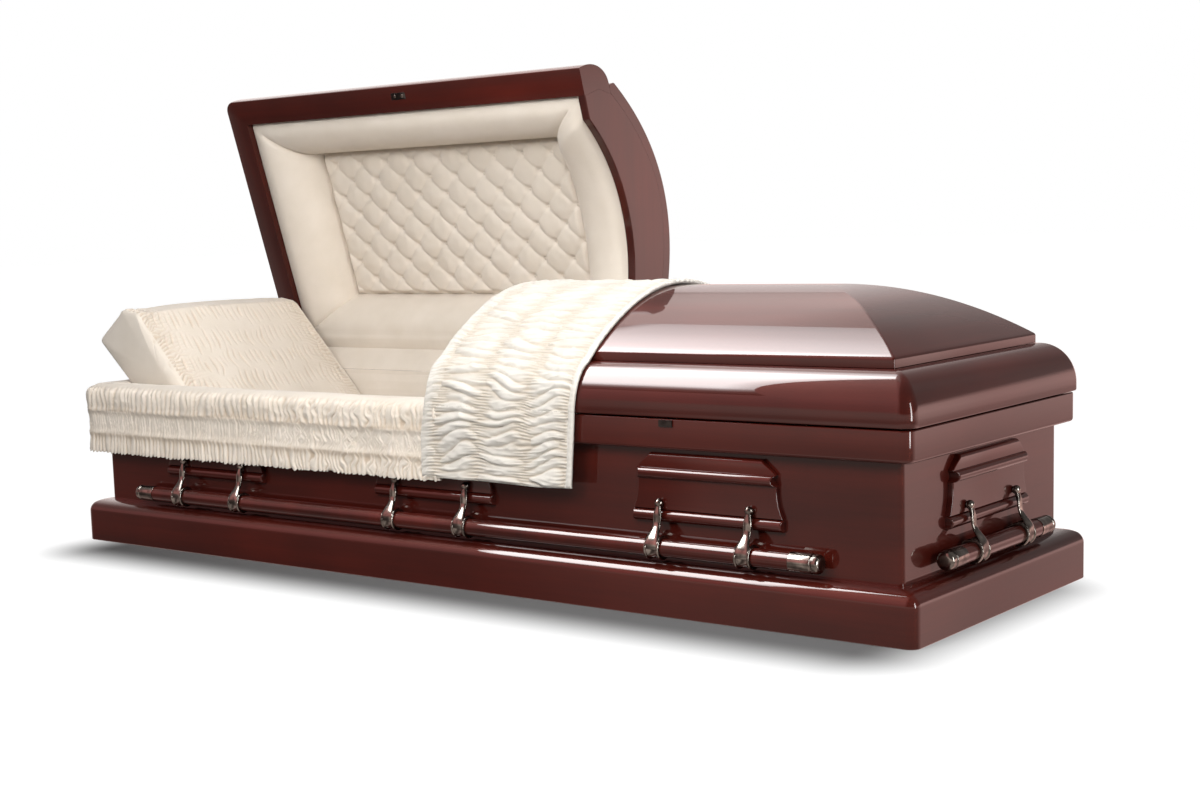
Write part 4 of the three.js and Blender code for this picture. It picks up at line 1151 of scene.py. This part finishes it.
def glow_panel(name, centre, width, length, colour, strength, along, across):
    """A glowing panel that shows in polished surfaces alone, drawn from its middle by a width and a
    length vector. along and across are (share of the length or width, share of the brightness) stops."""
    corners = np.array([(-1, -1), (-1, 1), (1, 1), (1, -1)]) / 2
    places = np.array(centre) + corners[:, :1] * np.array(width) + corners[:, 1:] * np.array(length)
    mesh = bpy.data.meshes.new(name)
    mesh.from_pydata(places.tolist(), [], [(0, 1, 2, 3)])
    mesh.uv_layers.new(name="UVMap").data.foreach_set("uv", [0, 0, 0, 1, 1, 1, 1, 0])
    panel = bpy.data.objects.new(name, mesh)
    bpy.context.scene.collection.objects.link(panel)
    panel.visible_camera = panel.visible_diffuse = panel.visible_shadow = False
    material = bpy.data.materials.new(name)
    material.use_nodes = True
    tree = material.node_tree
    tree.nodes.clear()
    split = add_node(tree, "ShaderNodeSeparateXYZ")
    tree.links.new(add_node(tree, "ShaderNodeTexCoord").outputs["UV"], split.inputs["Vector"])
    grey = [[(place, (value,) * 3) for place, value in stops] for stops in (across, along)]
    shape = mixed(tree, 1.0, ramp(tree, split.outputs["X"], grey[0]), ramp(tree, split.outputs["Y"], grey[1]),
                  "MULTIPLY")
    glow = add_node(tree, "ShaderNodeEmission", Strength=strength)
    tree.links.new(mixed(tree, 1.0, shape, (*colour, 1.0), "MULTIPLY"), glow.inputs["Color"])
    output = add_node(tree, "ShaderNodeOutputMaterial")
    tree.links.new(glow.outputs["Emission"], output.inputs["Surface"])
    mesh.materials.append(material)


def build_surround():
    """The room as the wood reflects it, by compass direction and height: bright behind to the left
    and low behind to the right, dark elsewhere. The camera sees plain white."""
    world = bpy.data.worlds.new("studio")
    bpy.context.scene.world = world
    world.use_nodes = True
    tree = world.node_tree
    split = add_node(tree, "ShaderNodeSeparateXYZ")
    tree.links.new(add_node(tree, "ShaderNodeTexCoord").outputs["Generated"], split.inputs["Vector"])
    compass = add_node(tree, "ShaderNodeMath", operation="ARCTAN2")
    tree.links.new(split.outputs["X"], compass.inputs[0])
    tree.links.new(split.outputs["Y"], compass.inputs[1])

    def spread(source, low, high):
        node = add_node(tree, "ShaderNodeMapRange")
        node.inputs["From Min"].default_value = low
        node.inputs["From Max"].default_value = high
        tree.links.new(source, node.inputs["Value"])
        return node.outputs["Result"]

    turn = spread(compass.outputs[0], -math.pi, math.pi)
    tone = [(-180, 0.10, 0.6), (-158, 0.55, 0.45), (-125, 0.40, 0.45), (-112, 0.12, 0.8), (-95, 0.14, 0.9),
            (-78, 0.45, 0.9), (-62, 0.55, 0.9), (-45, 0.45, 0.9), (-30, 0.42, 0.9), (-18, 0.20, 0.9),
            (-8, 0.10, 0.9), (12, 0.07, 0.9), (20, 0.10, 0.9), (180, 0.05, 0.9)]
    ring = ramp(tree, turn, [((angle + 180) / 360, (value, value * cool, value * cool * 0.97))
                             for angle, value, cool in tone])
    height = spread(split.outputs["Z"], -1.0, 1.0)
    rise = ramp(tree, height, [(0.50, (0.62,) * 3), (0.63, (0.80,) * 3), (0.72, (1.0,) * 3), (0.85, (0.8,) * 3)])
    above = mixed(tree, 1.0, ring, rise, "MULTIPLY")
    low_tone = [(-180, 0.26, 0.85), (-152, 0.26, 0.85), (-147, 0.22, 0.85), (-141, 0.09, 0.80), (-131, 0.05, 0.75),
                (-120, 0.07, 0.75), (-100, 0.20, 0.75), (-60, 0.25, 0.70), (10, 0.28, 0.62), (20, 0.34, 0.62),
                (26, 0.40, 0.62), (33, 0.62, 0.66), (60, 0.62, 0.66), (80, 0.25, 0.80), (180, 0.26, 0.85)]
    low_ring = ramp(tree, turn, [((angle + 180) / 360, (value, value * cool, value * cool * 0.92))
                                 for angle, value, cool in low_tone])
    near = ramp(tree, height, [(0.22, (0.50,) * 3), (0.30, (0.60,) * 3), (0.36, (0.28,) * 3), (0.42, (0.34,) * 3),
                               (0.49, (0.60,) * 3)])
    below = add_node(tree, "ShaderNodeVectorMath", operation="SCALE")
    below.inputs["Scale"].default_value = 2.0
    tree.links.new(mixed(tree, 1.0, low_ring, near, "MULTIPLY"), below.inputs[0])
    level = ramp(tree, height, [(0.530, (0.0,) * 3), (0.565, (1.0,) * 3)])
    room = mixed(tree, level, below.outputs[0], above)
    strong = add_node(tree, "ShaderNodeVectorMath", operation="SCALE")
    strong.inputs["Scale"].default_value = 3.1
    tree.links.new(room, strong.inputs[0])
    plain = ramp(tree, height, [(0.49, (GROUND_LIGHT,) * 3), (0.51, (SKY_LIGHT,) * 3)])
    path = add_node(tree, "ShaderNodeLightPath")
    seen = mixed(tree, path.outputs["Is Diffuse Ray"], strong.outputs[0], plain)
    background = tree.nodes["Background"]
    tree.links.new(mixed(tree, path.outputs["Is Camera Ray"], seen, (1.0, 1.0, 1.0, 1.0)),
                   background.inputs["Color"])


def build_studio():
    """A pale floor with a painted shadow round the casket, the surround, three glowing panels that
    show only in polished surfaces, and five soft lamps.
    """
    mesh = bpy.data.meshes.new("floor")
    reach = 30.0
    mesh.from_pydata([(-reach, -reach, 0), (reach, -reach, 0), (reach, reach, 0), (-reach, reach, 0)], [],
                     [(0, 1, 2, 3)])
    floor = bpy.data.objects.new("floor", mesh)
    bpy.context.scene.collection.objects.link(floor)
    floor.visible_glossy = floor.visible_diffuse = False
    material, tree, shader = new_material("pale_floor_painted_shadow")
    # Painted shadow: the floor is dark grey, and its white glow fades out close to the casket.
    shader.inputs["Base Color"].default_value = (0.14, 0.14, 0.14, 1.0)
    shader.inputs["Roughness"].default_value = 0.9
    shader.inputs["Specular IOR Level"].default_value = 0.0
    point = add_node(tree, "ShaderNodeTexCoord").outputs["Object"]
    for operation, vector in (("ADD", FLOOR_SHADE_SHIFT), ("ABSOLUTE", None), ("SUBTRACT", FLOOR_SHADE_HALF),
                              ("MAXIMUM", (0.0, 0.0, 0.0))):
        step = add_node(tree, "ShaderNodeVectorMath", operation=operation)
        tree.links.new(point, step.inputs[0])
        if vector:
            step.inputs[1].default_value = vector
        point = step.outputs["Vector"]
    away = add_node(tree, "ShaderNodeVectorMath", operation="LENGTH")
    tree.links.new(point, away.inputs[0])
    spread = add_node(tree, "ShaderNodeMapRange", interpolation_type="SMOOTHSTEP")
    spread.inputs["From Min"].default_value = FLOOR_SHADE_START
    spread.inputs["From Max"].default_value = FLOOR_SHADE_END
    tree.links.new(away.outputs["Value"], spread.inputs["Value"])
    shader.inputs["Emission Color"].default_value = (1.0, 1.0, 1.0, 1.0)
    tree.links.new(spread.outputs["Result"], shader.inputs["Emission Strength"])
    mesh.materials.append(material)
    build_surround()
    glow_panel("overhead_glow", (-1.75, -1.95, 3.0), (1.70, 0, 0), (2.36, 5.9, 0), (1.0, 0.99, 0.99), 20.0,
               [(0.0, 0.0), (0.17, 0.03), (0.254, 0.22), (0.33, 0.85), (0.40, 1.0), (0.834, 1.0),
                (0.883, 0.5), (0.942, 0.28), (1.0, 0.16)],
               [(0.0, 0.55), (0.06, 1.0), (0.90, 1.0), (1.0, 0.55)])
    glow_panel("rear_glow", (-1.9, 2.7, 3.1), (3.0, 0, 0), (0, 3.4, 0), (1.0, 0.84, 0.80), 2.15,
               [(0.0, 1.0), (0.4, 0.95), (1.0, 0.5)], [(0.0, 0.4), (0.3, 0.8), (0.8, 1.0), (1.0, 0.6)])
    glow_panel("side_glow", (4.0, -0.85, 0.99), (0.12, 0.62, 0), (0, 0, 2.2), (1.0, 1.0, 1.0), 24.0,
               [(0.0, 0.6), (0.08, 1.0), (1.0, 0.6)], [(0.0, 0.2), (0.3, 1.0), (0.7, 1.0), (1.0, 0.2)])
    for name, (place, target, size, power) in LAMPS.items():
        soft_box(name + "_light", place, target, size, power).visible_glossy = False
    bpy.context.scene.view_settings.view_transform = "Standard"


place_camera()
build_box()
for lid, side, cut, board_start, move in (
    ("head_lid", -1.0, HEAD_END, HEAD_END - CUT_BOARD, opened),
    ("foot_lid", 1.0, FOOT_END, FOOT_END, lambda points: points),
):
    build_lid(lid, side, cut, board_start, move)
build_handles()
build_lid_padding()
build_extendover()
build_throw()
build_bedding()
build_pillow()
build_linings()
build_catch()
build_studio()
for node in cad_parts.values():
    if not node.hide_render:
        node.data.materials.clear()
        node.data.materials.append({"base_board": board, "latch_tab": dark_nickel}.get(node.name, nickel))
